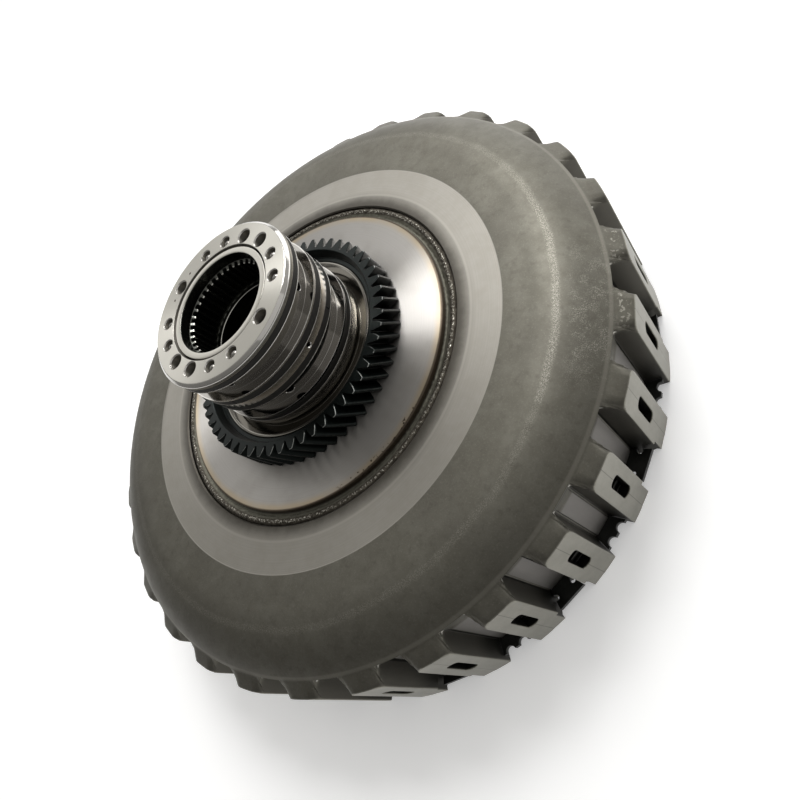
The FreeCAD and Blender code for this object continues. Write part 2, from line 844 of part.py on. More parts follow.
def make_k1():
    """The outer clutch: pack, backing plate, piston and inner plate carrier."""
    first_lug = 180 / number("lug_count")
    outer_tooth = radial_bar(D["k1_plate_outer"] - 1, D["k1_tooth_tip"],
                             D["k1_tooth_width"], D["k1_tooth_width"])
    inner_tooth = radial_bar(D["k1_hub_root"] + 0.4, D["k1_hub_tip"] + 1.5, 5.0, 5.6)
    made, pack_top = make_pack("k1", outer_tooth, D["lug_count"], inner_tooth,
                               D["k1_hub_teeth"], D["k1_plate_outer"] - 0.4)
    backing = toothed_plate("k1_backing_plate", D["k1_plate_inner"] - 0.4, D["k1_plate_outer"],
                            D["k1_backing_bottom"], D["k1_pack_bottom"], outer_tooth,
                            D["lug_count"])
    for plate in made + [backing]:
        if "friction" not in plate.Label:
            plate.Placement = FreeCAD.Placement(ORIGIN, FreeCAD.Rotation(AXIS_UP, first_lug))
    hub = new_body("k1_hub")
    revolve(hub, [
        (D["inner_sleeve_minor"], D["k1_web_raised_bottom"]),
        (D["k1_web_step_inner"], D["k1_web_raised_bottom"]),
        (D["k1_web_step_outer"], D["k1_web_bottom"]),
        (D["k1_hub_root"], D["k1_web_bottom"]),
        (D["k1_hub_root"], D["k1_hub_top"]),
        (D["k1_hub_inner"], D["k1_hub_top"]),
        (D["k1_hub_inner"], D["k1_web_top"]),
        (D["k1_web_step_outer"] + 1, D["k1_web_top"]),
        (D["k1_web_step_inner"] + 1, D["k1_web_raised_top"]),
        (D["inner_sleeve_outer"], D["k1_web_raised_top"]),
        (D["inner_sleeve_outer"], D["inner_sleeve_top"]),
        (D["inner_sleeve_minor"], D["inner_sleeve_top"]),
    ])
    pitch = 360 / number("k1_hub_teeth")
    teeth(hub, "k1_hub_tooth", radial_bar(D["k1_hub_root"] - 1, D["k1_hub_tip"], 9.2, 8.4),
          D["k1_web_top"] + 0.8, D["k1_hub_top"], D["k1_hub_teeth"])
    slots(hub, "k1_hub_spline", radial_bar(D["inner_sleeve_minor"] - 1,
                                           D["inner_sleeve_minor"] + 1.4, 1.2, 1.6),
          D["k1_web_raised_bottom"], D["inner_sleeve_top"], D["inner_sleeve_teeth"])
    hub.Placement = FreeCAD.Placement(ORIGIN, FreeCAD.Rotation(AXIS_UP, pitch / 2))
    inner = D["nose_radius"] + D["piston_clearance"]
    inner_groove = inner + D["piston_groove_depth"] - 0.1
    outer_groove = D["k1_piston_head"] - D["piston_groove_depth"]
    groove_low = D["k1_piston_low"] + 0.6
    groove_high = D["k1_piston_high"] - 0.6
    piston = turned("k1_piston", [
        (inner, D["k1_piston_low"]),
        (D["k1_piston_wall_inner"], D["k1_piston_low"]),
        (D["k1_piston_wall_inner"], pack_top),
        (D["k1_piston_rim"], pack_top),
        (D["k1_piston_rim"], pack_top + 2.6),
        (D["k1_piston_wall_outer"], pack_top + 2.6),
        (D["k1_piston_wall_outer"], D["k1_piston_low"]),
        (D["k1_piston_head"], D["k1_piston_low"]),
        (D["k1_piston_head"], groove_low),
        (outer_groove, groove_low),
        (outer_groove, groove_high),
        (D["k1_piston_head"], groove_high),
        (D["k1_piston_head"], D["k1_piston_high"]),
        (inner, D["k1_piston_high"]),
        (inner, groove_high),
        (inner_groove, groove_high),
        (inner_groove, groove_low),
        (inner, groove_low),
    ])
    made += [backing, hub, piston]
    made.append(ring("k1_piston_outer_seal", outer_groove + 0.1, D["k1_cylinder_inner"] - 0.1,
                     groove_low + 0.1, groove_high - 0.1))
    made.append(ring("k1_piston_inner_seal", D["nose_radius"] + 0.08, inner_groove - 0.1,
                     groove_low + 0.1, groove_high - 0.1))
    made.append(ring("k1_cylinder_ring", D["k1_cylinder_inner"], D["k1_cylinder_outer"],
                     D["k1_cylinder_bottom"], D["web_bottom"]))
    made.append(split_ring("k1_snap_ring", D["drum_inner"] - 3.4, D["k1_seat_radius"] - 0.2,
                           D["k1_seat_low"] + 0.1, D["k1_backing_bottom"], 9))
    spring_thick = 0.9
    made.append(turned("k1_return_spring", [
        (D["k1_spring_inner"], D["k1_spring_low"] + 0.15),
        (D["k1_spring_inner"] + 1, D["k1_spring_low"]),
        (D["k1_spring_outer"], D["k1_spring_high"] - 0.15 - spring_thick),
        (D["k1_spring_outer"], D["k1_spring_high"] - 0.15),
        (D["k1_spring_outer"] - 1, D["k1_spring_high"]),
        (D["k1_spring_inner"], D["k1_spring_low"] + 0.15 + spring_thick),
    ]))
    return made


def make_k2():
    """The inner clutch: drum, pack, backing plate, piston, springs, balance piston, carrier."""
    outer_tooth = radial_bar(D["k2_plate_outer"] - 1, D["k2_drum_groove"] - 0.4,
                             D["k2_tooth_width"], D["k2_tooth_width"])
    inner_tooth = radial_bar(D["k2_hub_root"] + 0.35, D["k2_hub_tip"] + 1.2, 4.2, 4.8)
    made, pack_top = make_pack("k2", outer_tooth, D["k2_drum_teeth"], inner_tooth,
                               D["k2_hub_teeth"], D["k2_plate_outer"] - 0.4)
    made.append(toothed_plate("k2_backing_plate", D["k2_plate_inner"] - 0.4,
                              D["k2_plate_outer"], D["k2_backing_bottom"], D["k2_pack_bottom"],
                              outer_tooth, D["k2_drum_teeth"]))
    drum = new_body("k2_drum")
    revolve(drum, [
        (D["nose_radius"], D["k2_web_bottom"]),
        (D["k2_drum_inner"], D["k2_web_bottom"]),
        (D["k2_drum_inner"], D["k2_rim_bottom"]),
        (D["k2_drum_outer"], D["k2_rim_bottom"]),
        (D["k2_drum_outer"], D["k2_web_top"] - 2),
        (D["k2_drum_outer"] - 2, D["k2_web_top"]),
        (D["nose_radius"], D["k2_web_top"]),
    ])
    slots(drum, "k2_drum_groove",
          radial_bar(D["k2_drum_inner"] - 1, D["k2_drum_groove"], 6.2, 6.2),
          D["k2_rim_bottom"], D["k2_groove_top"], D["k2_drum_teeth"])
    round_groove(drum, "k2_ring_seat", D["k2_drum_inner"] - 1.5, D["k2_drum_groove"] - 0.2,
                 D["k2_seat_low"], D["k2_backing_bottom"])
    made.append(drum)
    hub = new_body("k2_hub")
    revolve(hub, [
        (D["sleeve_outer"], D["k2_hub_web_bottom"]),
        (D["k2_hub_inner"], D["k2_hub_web_bottom"]),
        (D["k2_hub_inner"], D["k2_hub_bottom"]),
        (D["k2_hub_root"], D["k2_hub_bottom"]),
        (D["k2_hub_root"], D["k2_hub_top"]),
        (D["k2_hub_inner"], D["k2_hub_top"]),
        (D["k2_hub_inner"], D["k2_hub_web_top"]),
        (D["sleeve_outer"], D["k2_hub_web_top"]),
    ])
    teeth(hub, "k2_hub_tooth", radial_bar(D["k2_hub_root"] - 1, D["k2_hub_tip"], 7.4, 6.8),
          D["k2_pack_bottom"] - 0.4, D["k2_hub_top"], D["k2_hub_teeth"])
    hub.Placement = FreeCAD.Placement(
        ORIGIN, FreeCAD.Rotation(AXIS_UP, 180 / number("k2_hub_teeth")))
    made.append(hub)
    inner = D["nose_radius"] + D["piston_clearance"]
    inner_groove = inner + D["piston_groove_depth"] - 0.1
    outer_groove = D["k2_piston_rim"] - D["piston_groove_depth"]
    groove_low = pack_top + 0.52
    groove_high = D["k2_piston_high"] - 0.5
    made.append(turned("k2_piston", [
        (inner, pack_top),
        (D["k2_piston_rim"], pack_top),
        (D["k2_piston_rim"], groove_low),
        (outer_groove, groove_low),
        (outer_groove, groove_high),
        (D["k2_piston_rim"], groove_high),
        (D["k2_piston_rim"], D["k2_piston_high"]),
        (inner, D["k2_piston_high"]),
        (inner, groove_high),
        (inner_groove, groove_high),
        (inner_groove, groove_low),
        (inner, groove_low),
    ]))
    made.append(ring("k2_piston_outer_seal", outer_groove + 0.1, D["k2_drum_inner"] - 0.08,
                     groove_low + 0.1, groove_high - 0.1))
    made.append(ring("k2_piston_inner_seal", D["nose_radius"] + 0.08, inner_groove - 0.1,
                     groove_low + 0.1, groove_high - 0.1))
    made.append(turned("k2_balance_piston", [
        (D["nose_radius"] + 0.05, D["balance_bottom"]),
        (D["balance_rim"] - 1.6, D["balance_bottom"]),
        (D["balance_rim"], D["balance_bottom"] + 1.5),
        (D["balance_rim"], D["balance_top"]),
        (D["balance_rim"] - 2.6, D["balance_top"]),
        (D["balance_rim"] - 3.2, D["balance_web_top"]),
        (D["nose_radius"] + 0.05, D["balance_web_top"]),
    ]))
    made.append(split_ring("balance_snap_ring", D["balance_seat_radius"] + 0.2,
                           D["nose_radius"] + 2.4, D["balance_seat_low"] + 0.1,
                           D["balance_seat_high"], 6))
    made.append(split_ring("k2_snap_ring", D["k2_drum_inner"] - 3.5, D["k2_drum_groove"] - 0.4,
                           D["k2_seat_low"] + 0.1, D["k2_backing_bottom"], 8))
    made.append(make_coil_springs("k2_return_springs", int(number("k2_spring_count")),
                                  number("k2_spring_circle"), D["balance_web_top"] + 0.05,
                                  pack_top - 0.05))
    return made


def make_coil_springs(label, count, circle, bottom, top):
    """Coil springs that stand between the balance piston and the piston."""
    wire_radius = 0.55
    coil_radius = 3.2
    low = Length.of(bottom).value + wire_radius
    high = Length.of(top).value - wire_radius
    helix = Part.makeHelix((high - low) / 3.5, high - low, coil_radius)
    start = helix.Edges[0].Vertexes[0].Point
    section = Part.Wire(Part.makeCircle(wire_radius, start, FreeCAD.Vector(0, 1, 0)))
    coil = Part.Wire(helix.Edges).makePipeShell([section], True, True)
    springs = []
    for index in range(count):
        copy = coil.copy()
        copy.translate(FreeCAD.Vector(circle, 0, low))
        copy.rotate(ORIGIN, AXIS_UP, 360 / count * index)
        springs.append(copy)
    feature = doc.addObject("Part::Feature", label)
    feature.Shape = Part.makeCompound(springs)
    return feature


def make_output_sleeve():
    """The hollow output sleeve: the outer gearbox shaft goes into its spline up to a collar."""
    body = new_body("output_sleeve")
    revolve(body, [
        (D["sleeve_collar"], D["sleeve_bottom"]),
        (D["sleeve_outer"], D["sleeve_bottom"]),
        (D["sleeve_outer"], D["sleeve_top"] - 0.5),
        (D["sleeve_outer"] - 0.5, D["sleeve_top"]),
        (D["sleeve_mouth"] + 0.5, D["sleeve_top"]),
        (D["sleeve_mouth"], D["sleeve_top"] - 0.6),
        (D["sleeve_mouth"], D["sleeve_top"] - 4.3),
        (D["sleeve_minor"], D["sleeve_top"] - 5.0),
        (D["sleeve_minor"], D["sleeve_spline_bottom"]),
        (D["sleeve_minor"] + D["sleeve_relief"], D["sleeve_spline_bottom"]),
        (D["sleeve_minor"] + D["sleeve_relief"], D["sleeve_collar_top"]),
        (D["sleeve_collar"], D["sleeve_collar_top"]),
    ])
    slots(body, "sleeve_spline",
          radial_bar(D["sleeve_minor"] - 1, D["sleeve_mouth"] - 0.1, 1.3, 1.7),
          D["sleeve_collar_top"], D["sleeve_top"] - 4, D["sleeve_teeth"])
    return body


# Needle thrust bearings: label, inner and outer radius, bottom and top
THRUST_BEARINGS = (("front_thrust_bearing", 26, 36, 12.3, 15.5),
                   ("middle_thrust_bearing", 26, 36, 18.1, 21.1),
                   ("rear_thrust_bearing", 27.5, 35.5, 23.9, 27.3))


def make_thrust_bearing(label, inner, outer, bottom, top):
    """Two washers with a ring of needles between them."""
    washer = 0.7
    low = Part.makeCylinder(outer, washer).cut(Part.makeCylinder(inner, washer))
    low.translate(FreeCAD.Vector(0, 0, bottom))
    high = low.copy()
    high.translate(FreeCAD.Vector(0, 0, top - bottom - washer))
    needle_radius = (top - bottom - 2 * washer) / 2
    needles = []
    for index in range(24):
        needle = Part.makeCylinder(needle_radius, outer - inner - 2.4,
                                   FreeCAD.Vector(inner + 1.2, 0, (bottom + top) / 2),
                                   FreeCAD.Vector(1, 0, 0))
        needle.rotate(ORIGIN, AXIS_UP, 15 * index)
        needles.append(needle)
    feature = doc.addObject("Part::Feature", label)
    feature.Shape = Part.makeCompound([low, high] + needles)
    return feature


# ---------------------------------------------------------------------------------------------
# Assembly, checks and files
# ---------------------------------------------------------------------------------------------
def build_parts():
    parts = [make_outer_drum(), make_main_hub(), make_hub_flange(), make_weld_bead()]
    parts.append(make_pump_drive_gear())
    parts += make_seal_rings()
    parts += [make_gallery_plugs(), make_hub_bush(), make_drive_plate(), make_input_hub()]
    parts.append(split_ring("cover_snap_ring", D["drum_inner"] - 2.9,
                            D["cover_seat_radius"] - 0.2, D["cover_seat_low"] + 0.1,
                            D["cover_seat_high"] - 0.1, 10))
    parts += make_k1()
    parts += make_k2()
    parts.append(make_output_sleeve())
    for label, inner, outer, bottom, top in THRUST_BEARINGS:
        parts.append(make_thrust_bearing(label, inner, outer, bottom, top))
    return parts


def check_document():
    """Stop if any object of the document failed to build."""
    for item in doc.Objects:
        if "Invalid" in item.State or "Error" in item.State:
            raise RuntimeError(f"{item.Label} failed: {item.State}")


def write_parts(parts):
    os.makedirs("parts", exist_ok=True)
    for part in parts:
        shape = part.Shape
        if shape.isNull() or not shape.isValid():
            raise RuntimeError(f"{part.Label} has no valid shape")
        shape.exportStep(f"parts/{part.Label}.step")
        box = shape.BoundBox
        print(f"{part.Label:26s} solids {len(shape.Solids):3d}  volume {shape.Volume:10.1f}  "
              f"z {box.ZMin:7.2f} to {box.ZMax:7.2f}  r {box.XMax:7.2f}")


def main():
    parts = build_parts()
    doc.recompute()
    check_document()
    write_parts(parts)


main()
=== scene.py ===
import json
import math

import bmesh
import bpy
import numpy as np
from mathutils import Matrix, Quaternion, Vector, noise


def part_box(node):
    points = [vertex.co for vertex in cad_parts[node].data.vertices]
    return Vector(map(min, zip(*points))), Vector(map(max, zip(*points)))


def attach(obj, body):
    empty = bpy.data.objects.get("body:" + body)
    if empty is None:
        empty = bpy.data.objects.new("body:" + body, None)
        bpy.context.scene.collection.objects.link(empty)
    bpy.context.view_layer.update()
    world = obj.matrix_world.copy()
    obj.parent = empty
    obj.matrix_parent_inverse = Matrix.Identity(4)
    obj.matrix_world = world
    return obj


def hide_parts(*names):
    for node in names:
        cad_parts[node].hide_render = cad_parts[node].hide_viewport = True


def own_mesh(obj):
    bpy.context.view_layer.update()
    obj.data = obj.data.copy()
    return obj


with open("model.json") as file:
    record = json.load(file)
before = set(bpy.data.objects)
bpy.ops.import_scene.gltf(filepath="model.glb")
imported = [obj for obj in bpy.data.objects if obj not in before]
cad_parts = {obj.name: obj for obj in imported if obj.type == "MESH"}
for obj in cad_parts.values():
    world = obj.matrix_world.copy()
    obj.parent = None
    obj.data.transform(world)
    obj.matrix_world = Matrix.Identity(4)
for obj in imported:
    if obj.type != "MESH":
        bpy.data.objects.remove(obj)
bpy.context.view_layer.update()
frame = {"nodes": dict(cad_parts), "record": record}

# Lengths are millimetres in the frame of the CAD model, with +Z along the rotation axis; those of
# the lights and the floor are metres. Angles are degrees unless a line turns them into radians.
MM = 0.001
HUB_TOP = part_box("main_hub")[1].z / MM
GEAR_LOW, GEAR_HIGH = (corner.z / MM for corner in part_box("pump_drive_gear"))
LUGS = 30
HALF_PITCH = 180 / LUGS           # from the middle of a lug to the middle of a channel
WINDOW = (2.2, 8.2, 1.9)          # half width, half height, corner radius
WINDOW_MIDDLE = 25.0


# ---------- Meshes
def rounded(corners, steps=3):
    """The points of a closed outline whose corners (x, y, rounding) are eased into short curves."""
    points = []
    count = len(corners)
    for index, (x, y, size) in enumerate(corners):
        here = Vector((x, y))
        if size == 0:
            points.append(here)
            continue
        back = Vector(corners[index - 1][:2]) - here
        ahead = Vector(corners[(index + 1) % count][:2]) - here
        start = here + back.normalized() * min(size, back.length * 0.45)
        end = here + ahead.normalized() * min(size, ahead.length * 0.45)
        for step in range(steps + 1):
            t = step / steps
            points.append(start * (1 - t) ** 2 + here * (2 * t * (1 - t)) + end * t ** 2)
    return points


def polar(radius, angle, height):
    """Points at angles in radians; radius and height are one number or one for each."""
    return np.stack([radius * np.cos(angle), radius * np.sin(angle), height + 0 * angle], 1)


def circle(radius, height, count, start=0.0, sweep=360.0, closed=True):
    """Points round the axis at one radius and height."""
    angle = np.radians(start + sweep * np.arange(count) / (count if closed else count - 1))
    return polar(radius, angle, height)


def stack(loops, closed_round=True):
    """Vertices and faces of a skin over a closed sequence of loops with equal point counts."""
    count = len(loops[0])
    points = np.concatenate(loops)
    faces = []
    for row in range(len(loops)):
        first = row * count
        second = (row + 1) % len(loops) * count
        for column in range(count if closed_round else count - 1):
            after = (column + 1) % count
            faces.append((first + column, first + after, second + after, second + column))
    if not closed_round:
        faces.append(tuple(row * count for row in range(len(loops))))
        faces.append(tuple(row * count + count - 1 for row in reversed(range(len(loops)))))
    return points, faces


def mesh_of(name, points, faces, crease=32):
    """A shaded mesh with outward faces."""
    mesh = bpy.data.meshes.new(name)
    mesh.from_pydata((np.asarray(points) * MM).tolist(), [], faces)
    shape = bmesh.new()
    shape.from_mesh(mesh)
    bmesh.ops.recalc_face_normals(shape, faces=shape.faces)
    shape.to_mesh(mesh)
    shape.free()
    return shaded(mesh, crease)


def shaded(mesh, crease=32):
    """The mesh, smooth but for edges sharper than the crease angle."""
    mesh.polygons.foreach_set("use_smooth", [True] * len(mesh.polygons))
    mesh.set_sharp_from_angle(angle=math.radians(crease))
    return mesh


def lathe(name, corners, count):
    """A turned ring from its outline (radius, height, rounding)."""
    loops = [circle(p.x, p.y, count) for p in rounded(corners)]
    return mesh_of(name, *stack(loops))


def joined(shapes):
    """One list of points and faces from several."""
    points, faces, offset = [], [], 0
    for part_points, part_faces in shapes:
        points.append(np.asarray(part_points))
        faces += [tuple(v + offset for v in face) for face in part_faces]
        offset += len(part_points)
    return np.concatenate(points), faces


def drilled(mesh, cutters):
    """The mesh with a joined set of cutting solids taken away."""
    body = bpy.data.objects.new("drilling", mesh)
    tool = bpy.data.objects.new("drill", mesh_of("drill", *joined(cutters)))
    for item in (body, tool):
        bpy.context.scene.collection.objects.link(item)
    cut = body.modifiers.new("cut", "BOOLEAN")
    cut.object = tool
    cut.solver = "EXACT"
    bpy.context.view_layer.update()
    graph = bpy.context.evaluated_depsgraph_get()
    result = bpy.data.meshes.new_from_object(body.evaluated_get(graph))
    result.name = mesh.name + "_drilled"
    for item in (body, tool):
        bpy.data.objects.remove(item)
    result.materials.clear()
    return shaded(result)


def piece(name, mesh, material, body, slot, *nodes):
    """A finished piece that rides on a body and stands for CAD nodes."""
    item = bpy.data.objects.new(name, mesh)
    bpy.context.scene.collection.objects.link(item)
    mesh.materials.append(material)
    even = item.modifiers.new("even_normals", "WEIGHTED_NORMAL")
    even.keep_sharp = True
    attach(item, body)
    if nodes:
        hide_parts(*nodes)
    return item


# ---------- Materials
class Finish:
    """A procedural material; its methods add nodes and return their outputs."""

    def __init__(self, name, **sockets):
        self.material = bpy.data.materials.new(name)
        self.material.use_nodes = True
        self.tree = self.material.node_tree
        self.shader = self.tree.nodes["Principled BSDF"]
        for socket, value in sockets.items():
            self.shader.inputs[socket.replace("_", " ")].default_value = value
        where = self.add("ShaderNodeTexCoord").outputs["Object"]
        scaled = self.add("ShaderNodeVectorMath", {0: where, "Scale": 1 / MM}, operation="SCALE")
        self.place = scaled.outputs[0]
        parts = self.add("ShaderNodeSeparateXYZ", {0: self.place}).outputs
        self.height = parts["Z"]
        self.radius = self.math("SQRT", self.math("ADD", self.math("POWER", parts["X"], 2.0),
                                                  self.math("POWER", parts["Y"], 2.0)))
        self.azimuth = self.math("DEGREES", self.math("ARCTAN2", parts["Y"], parts["X"]))

    def add(self, kind, links=None, **settings):
        node = self.tree.nodes.new(kind)
        for key, value in settings.items():
            setattr(node, key, value)
        for socket, value in (links or {}).items():
            self.feed(node.inputs[socket], value)
        return node

    def feed(self, socket, value):
        if isinstance(value, bpy.types.NodeSocket):
            self.tree.links.new(value, socket)
        elif socket.type == "RGBA":
            socket.default_value = (*value, 1.0)
        else:
            socket.default_value = value

    def math(self, operation, *values):
        return self.add("ShaderNodeMath", dict(enumerate(values)), operation=operation).outputs[0]

    def noise(self, scale, detail=3.0, roughness=0.55, stretch=None):
        """Noise with about scale features per millimetre; stretch scales x, y and z apart."""
        vector = self.place
        if stretch:
            vector = self.add("ShaderNodeVectorMath", {0: vector, 1: stretch},
                              operation="MULTIPLY").outputs[0]
        return self.add("ShaderNodeTexNoise", {"Vector": vector, "Scale": scale, "Detail": detail,
                                               "Roughness": roughness}).outputs["Fac"]

    def lines(self, value, scale, detail=3.0):
        """Noise along one number, such as turning marks along the radius."""
        node = self.add("ShaderNodeTexNoise", {"W": value, "Scale": scale, "Detail": detail},
                        noise_dimensions="1D")
        return node.outputs["Fac"]

    def fade(self, value, start, end, low=0.0, high=1.0):
        """Runs smoothly from low to high as the value goes from start to end."""
        node = self.add("ShaderNodeMapRange", {"Value": value, "From Min": start, "From Max": end,
                                               "To Min": low, "To Max": high},
                        interpolation_type="SMOOTHSTEP")
        return node.outputs["Result"]

    def band(self, value, centre, half, soft):
        """1 within half of the centre, 0 beyond half + soft."""
        away = self.math("ABSOLUTE", self.math("SUBTRACT", value, centre))
        return self.fade(away, half + soft, half)

    def both(self, *masks):
        """1 where all masks are 1."""
        result = masks[0]
        for mask in masks[1:]:
            result = self.math("MULTIPLY", result, mask)
        return result

    def mix(self, amount, first, second):
        """A colour between two colours."""
        node = self.add("ShaderNodeMix", {0: amount, 6: first, 7: second}, data_type="RGBA")
        return node.outputs[2]

    def overlay(self, mask, strength, colour, over):
        """A colour laid over another where the mask is, at some strength."""
        return self.mix(self.math("MULTIPLY", mask, strength), colour, over)

    def blend(self, amount, first, second):
        """A number between two numbers."""
        return self.add("ShaderNodeMix", {0: amount, 2: first, 3: second}).outputs[0]

    def bump(self, height, depth, strength):
        """A normal for small relief of a depth in millimetres."""
        links = {"Height": height, "Distance": depth * MM, "Strength": strength}
        return self.add("ShaderNodeBump", links).outputs["Normal"]

    def draw_along_marks(self):
        """Lets round turning marks draw highlights out across themselves."""
        tangent = self.add("ShaderNodeTangent", direction_type="RADIAL", axis="Z").outputs[0]
        self.feed(self.shader.inputs["Tangent"], tangent)

    def finish(self, colour, roughness, normal=None):
        self.feed(self.shader.inputs["Base Color"], colour)
        self.feed(self.shader.inputs["Roughness"], roughness)
        if normal is not None:
            self.feed(self.shader.inputs["Normal"], normal)
        return self.material


def land_and_soot(f, colour, rough, patches):
    """The land that is turned round the weld, the soot next to the weld, and painted highlights
    along a small step on the land and along the land's outer edge.
    """
    on_land = f.fade(f.height, 56.0, 56.5)
    land = f.both(f.fade(f.radius, 86.75, 86.45), on_land)
    rings = f.lines(f.radius, 3.0, 4.0)
    turned = f.mix(f.fade(rings, 0.2, 0.8), (0.285, 0.272, 0.242), (0.315, 0.3, 0.27))
    turned = f.mix(f.fade(patches, 0.35, 0.7, 0.0, 0.4), turned, (0.25, 0.236, 0.205))
    colour = f.mix(land, colour, turned)
    rough = f.blend(land, rough, f.blend(rings, 0.38, 0.42))
    smoke = f.math("ADD", f.radius, f.math("MULTIPLY", patches, 3.5))
    heavy = f.math("MAXIMUM", f.fade(f.math("ABSOLUTE", f.azimuth), 125.0, 160.0),
                   f.band(f.azimuth, -60.0, 30.0, 40.0))
    smoke = f.math("SUBTRACT", smoke, f.math("MULTIPLY", heavy, 1.1))
    soot = f.both(f.fade(smoke, 78.0, 70.5), f.fade(f.height, 50.0, 53.0))
    colour = f.overlay(soot, 0.9, colour, (0.046, 0.041, 0.033))
    # Painted highlight along a small step on the land.
    step_highlight = f.both(f.band(f.radius, 74.8, 0.2, 0.6), on_land)
    colour = f.overlay(step_highlight, 0.3, colour, (0.42, 0.4, 0.36))
    # Painted highlight along the land's outer edge.
    edge = f.both(f.band(f.radius, 86.6, 0.1, 0.2), on_land)
    colour = f.overlay(edge, 0.35, colour, (0.45, 0.43, 0.39))
    return colour, rough, land, rings


def wear_and_painted_highlights(f, colour):
    """The drawing ridge with a painted highlight along it, the worn ring inside it with a painted
    highlight that is strongest where the light falls, worn places along both, and painted glints on
    scratches on the lug tops.
    """
    speck = f.noise(3.2, 2.0, 0.7)
    outside = f.fade(f.height, 40.0, 44.0)
    # Painted highlight along the drawing ridge.
    ridge = f.both(f.band(f.radius, 119.9, 0.2, 0.6), f.fade(f.height, 46.8, 47.6))
    colour = f.overlay(ridge, 0.3, colour, (0.3, 0.285, 0.245))
    # The ring is speckled wear and also a painted highlight where the shoulder bends, made stronger
    # on the side where the light falls.
    wavy = f.math("ADD", f.radius, f.math("MULTIPLY", f.noise(0.05, 2.0), 2.0))
    ring = f.both(f.band(wavy, 106.0, 0.5, 1.4), outside)
    lit_side = f.math("MULTIPLY", f.band(f.azimuth, -168.0, 20.0, 30.0), 0.6)
    rubbed_and_lit_ring = f.both(ring, f.fade(speck, 0.46, 0.64), f.math("ADD", 0.4, lit_side))
    streaks = f.fade(f.noise(0.25, 3.0), 0.42, 0.6, 0.15, 1.0)
    worn = f.both(f.band(f.radius, 115.0, 3.5, 4.0), f.band(f.azimuth, -163.0, 5.0, 11.0), outside,
                  f.fade(speck, 0.47, 0.66), streaks)
    # Painted glints on scratches on the lug tops, on the side where the light falls.
    lug_top_scratch_glints = f.both(f.band(f.radius, 123.3, 1.0, 1.4), f.band(f.azimuth, -156.0, 6.0, 7.0),
                      f.fade(f.height, 43.5, 44.5), f.fade(f.noise(0.9, 3.0), 0.56, 0.64))
    wear_and_highlights = f.math("MAXIMUM", f.math("MAXIMUM", rubbed_and_lit_ring, lug_top_scratch_glints), worn)
    return f.mix(wear_and_highlights, colour, (0.3, 0.288, 0.25))


def channels_and_lugs(f, colour, rough, patches):
    """Channel walls and windows darkened with painted shade, drawn floors with painted shadow lines
    along their grooves and under the ridge, and painted glints at the pockets' upper corners; ground
    lug faces.
    """
    step = f.math("PINGPONG", f.azimuth, HALF_PITCH)      # from the middle of the nearest channel
    flute = f.both(f.fade(f.radius, 125.9, 125.5), f.fade(f.height, 46.5, 44.5),
                   f.fade(f.radius, 117.0, 117.3))
    # Painted shade on the channels' side walls, darker towards the rim.
    wall = f.both(flute, f.fade(step, 2.0, 2.15), f.fade(f.height, 47.0, 44.0))
    shade = f.mix(f.fade(f.height, 27.0, 12.0), (0.088, 0.083, 0.07), (0.038, 0.036, 0.03))
    colour = f.mix(wall, colour, shade)
    drawn = f.noise(0.6, 2.0, 0.5, (1.0, 1.0, 0.12))
    floor = f.both(flute, f.fade(step, 1.72, 1.66), f.fade(f.height, 41.5, 40.0))
    colour = f.mix(floor, colour, f.mix(drawn, (0.19, 0.18, 0.17), (0.225, 0.215, 0.2)))
    # Painted shadow lines in the grooves that border the channel's floor panel.
    groove_shade_lines = f.math("MAXIMUM", f.band(step, 1.74, 0.04, 0.05), f.band(step, 2.09, 0.04, 0.05))
    groove_shade_lines = f.both(groove_shade_lines, flute, f.fade(f.radius, 121.0, 120.6))
    colour = f.overlay(groove_shade_lines, 0.9, colour, (0.02, 0.019, 0.016))
    # A painted shadow line under the ridge, along the pocket's upper edge.
    painted_lip_line = f.both(f.band(f.height, 46.9, 0.2, 0.3), f.fade(step, 2.5, 2.3),
                 f.fade(f.radius, 121.6, 121.2))
    colour = f.overlay(painted_lip_line, 0.85, colour, (0.025, 0.023, 0.019))
    glint = f.both(f.band(step, 2.2, 0.14, 0.12), f.band(f.height, 46.3, 0.3, 0.35),
                   f.fade(f.radius, 122.5, 122.0))
    colour = f.mix(glint, colour, (0.8, 0.78, 0.72))
    pad = f.fade(f.radius, 125.9, 126.05)
    ground = f.mix(f.fade(patches, 0.3, 0.7), (0.235, 0.228, 0.195), (0.275, 0.266, 0.23))
    colour = f.mix(pad, colour, ground)
    rough = f.blend(pad, rough, f.blend(drawn, 0.36, 0.44))
    # Painted shade on the windows' walls.
    window_shade = f.both(f.fade(step, 4.9, 4.95), f.fade(f.radius, 125.75, 125.6),
                  f.band(f.height, WINDOW_MIDDLE, WINDOW[1] + 0.2, 0.1))
    colour = f.mix(window_shade, colour, (0.012, 0.011, 0.009))
    scribe = f.both(pad, f.fade(step, 5.93, 5.97))
    colour = f.overlay(scribe, 0.7, colour, (0.07, 0.066, 0.055))
    return colour, rough, pad


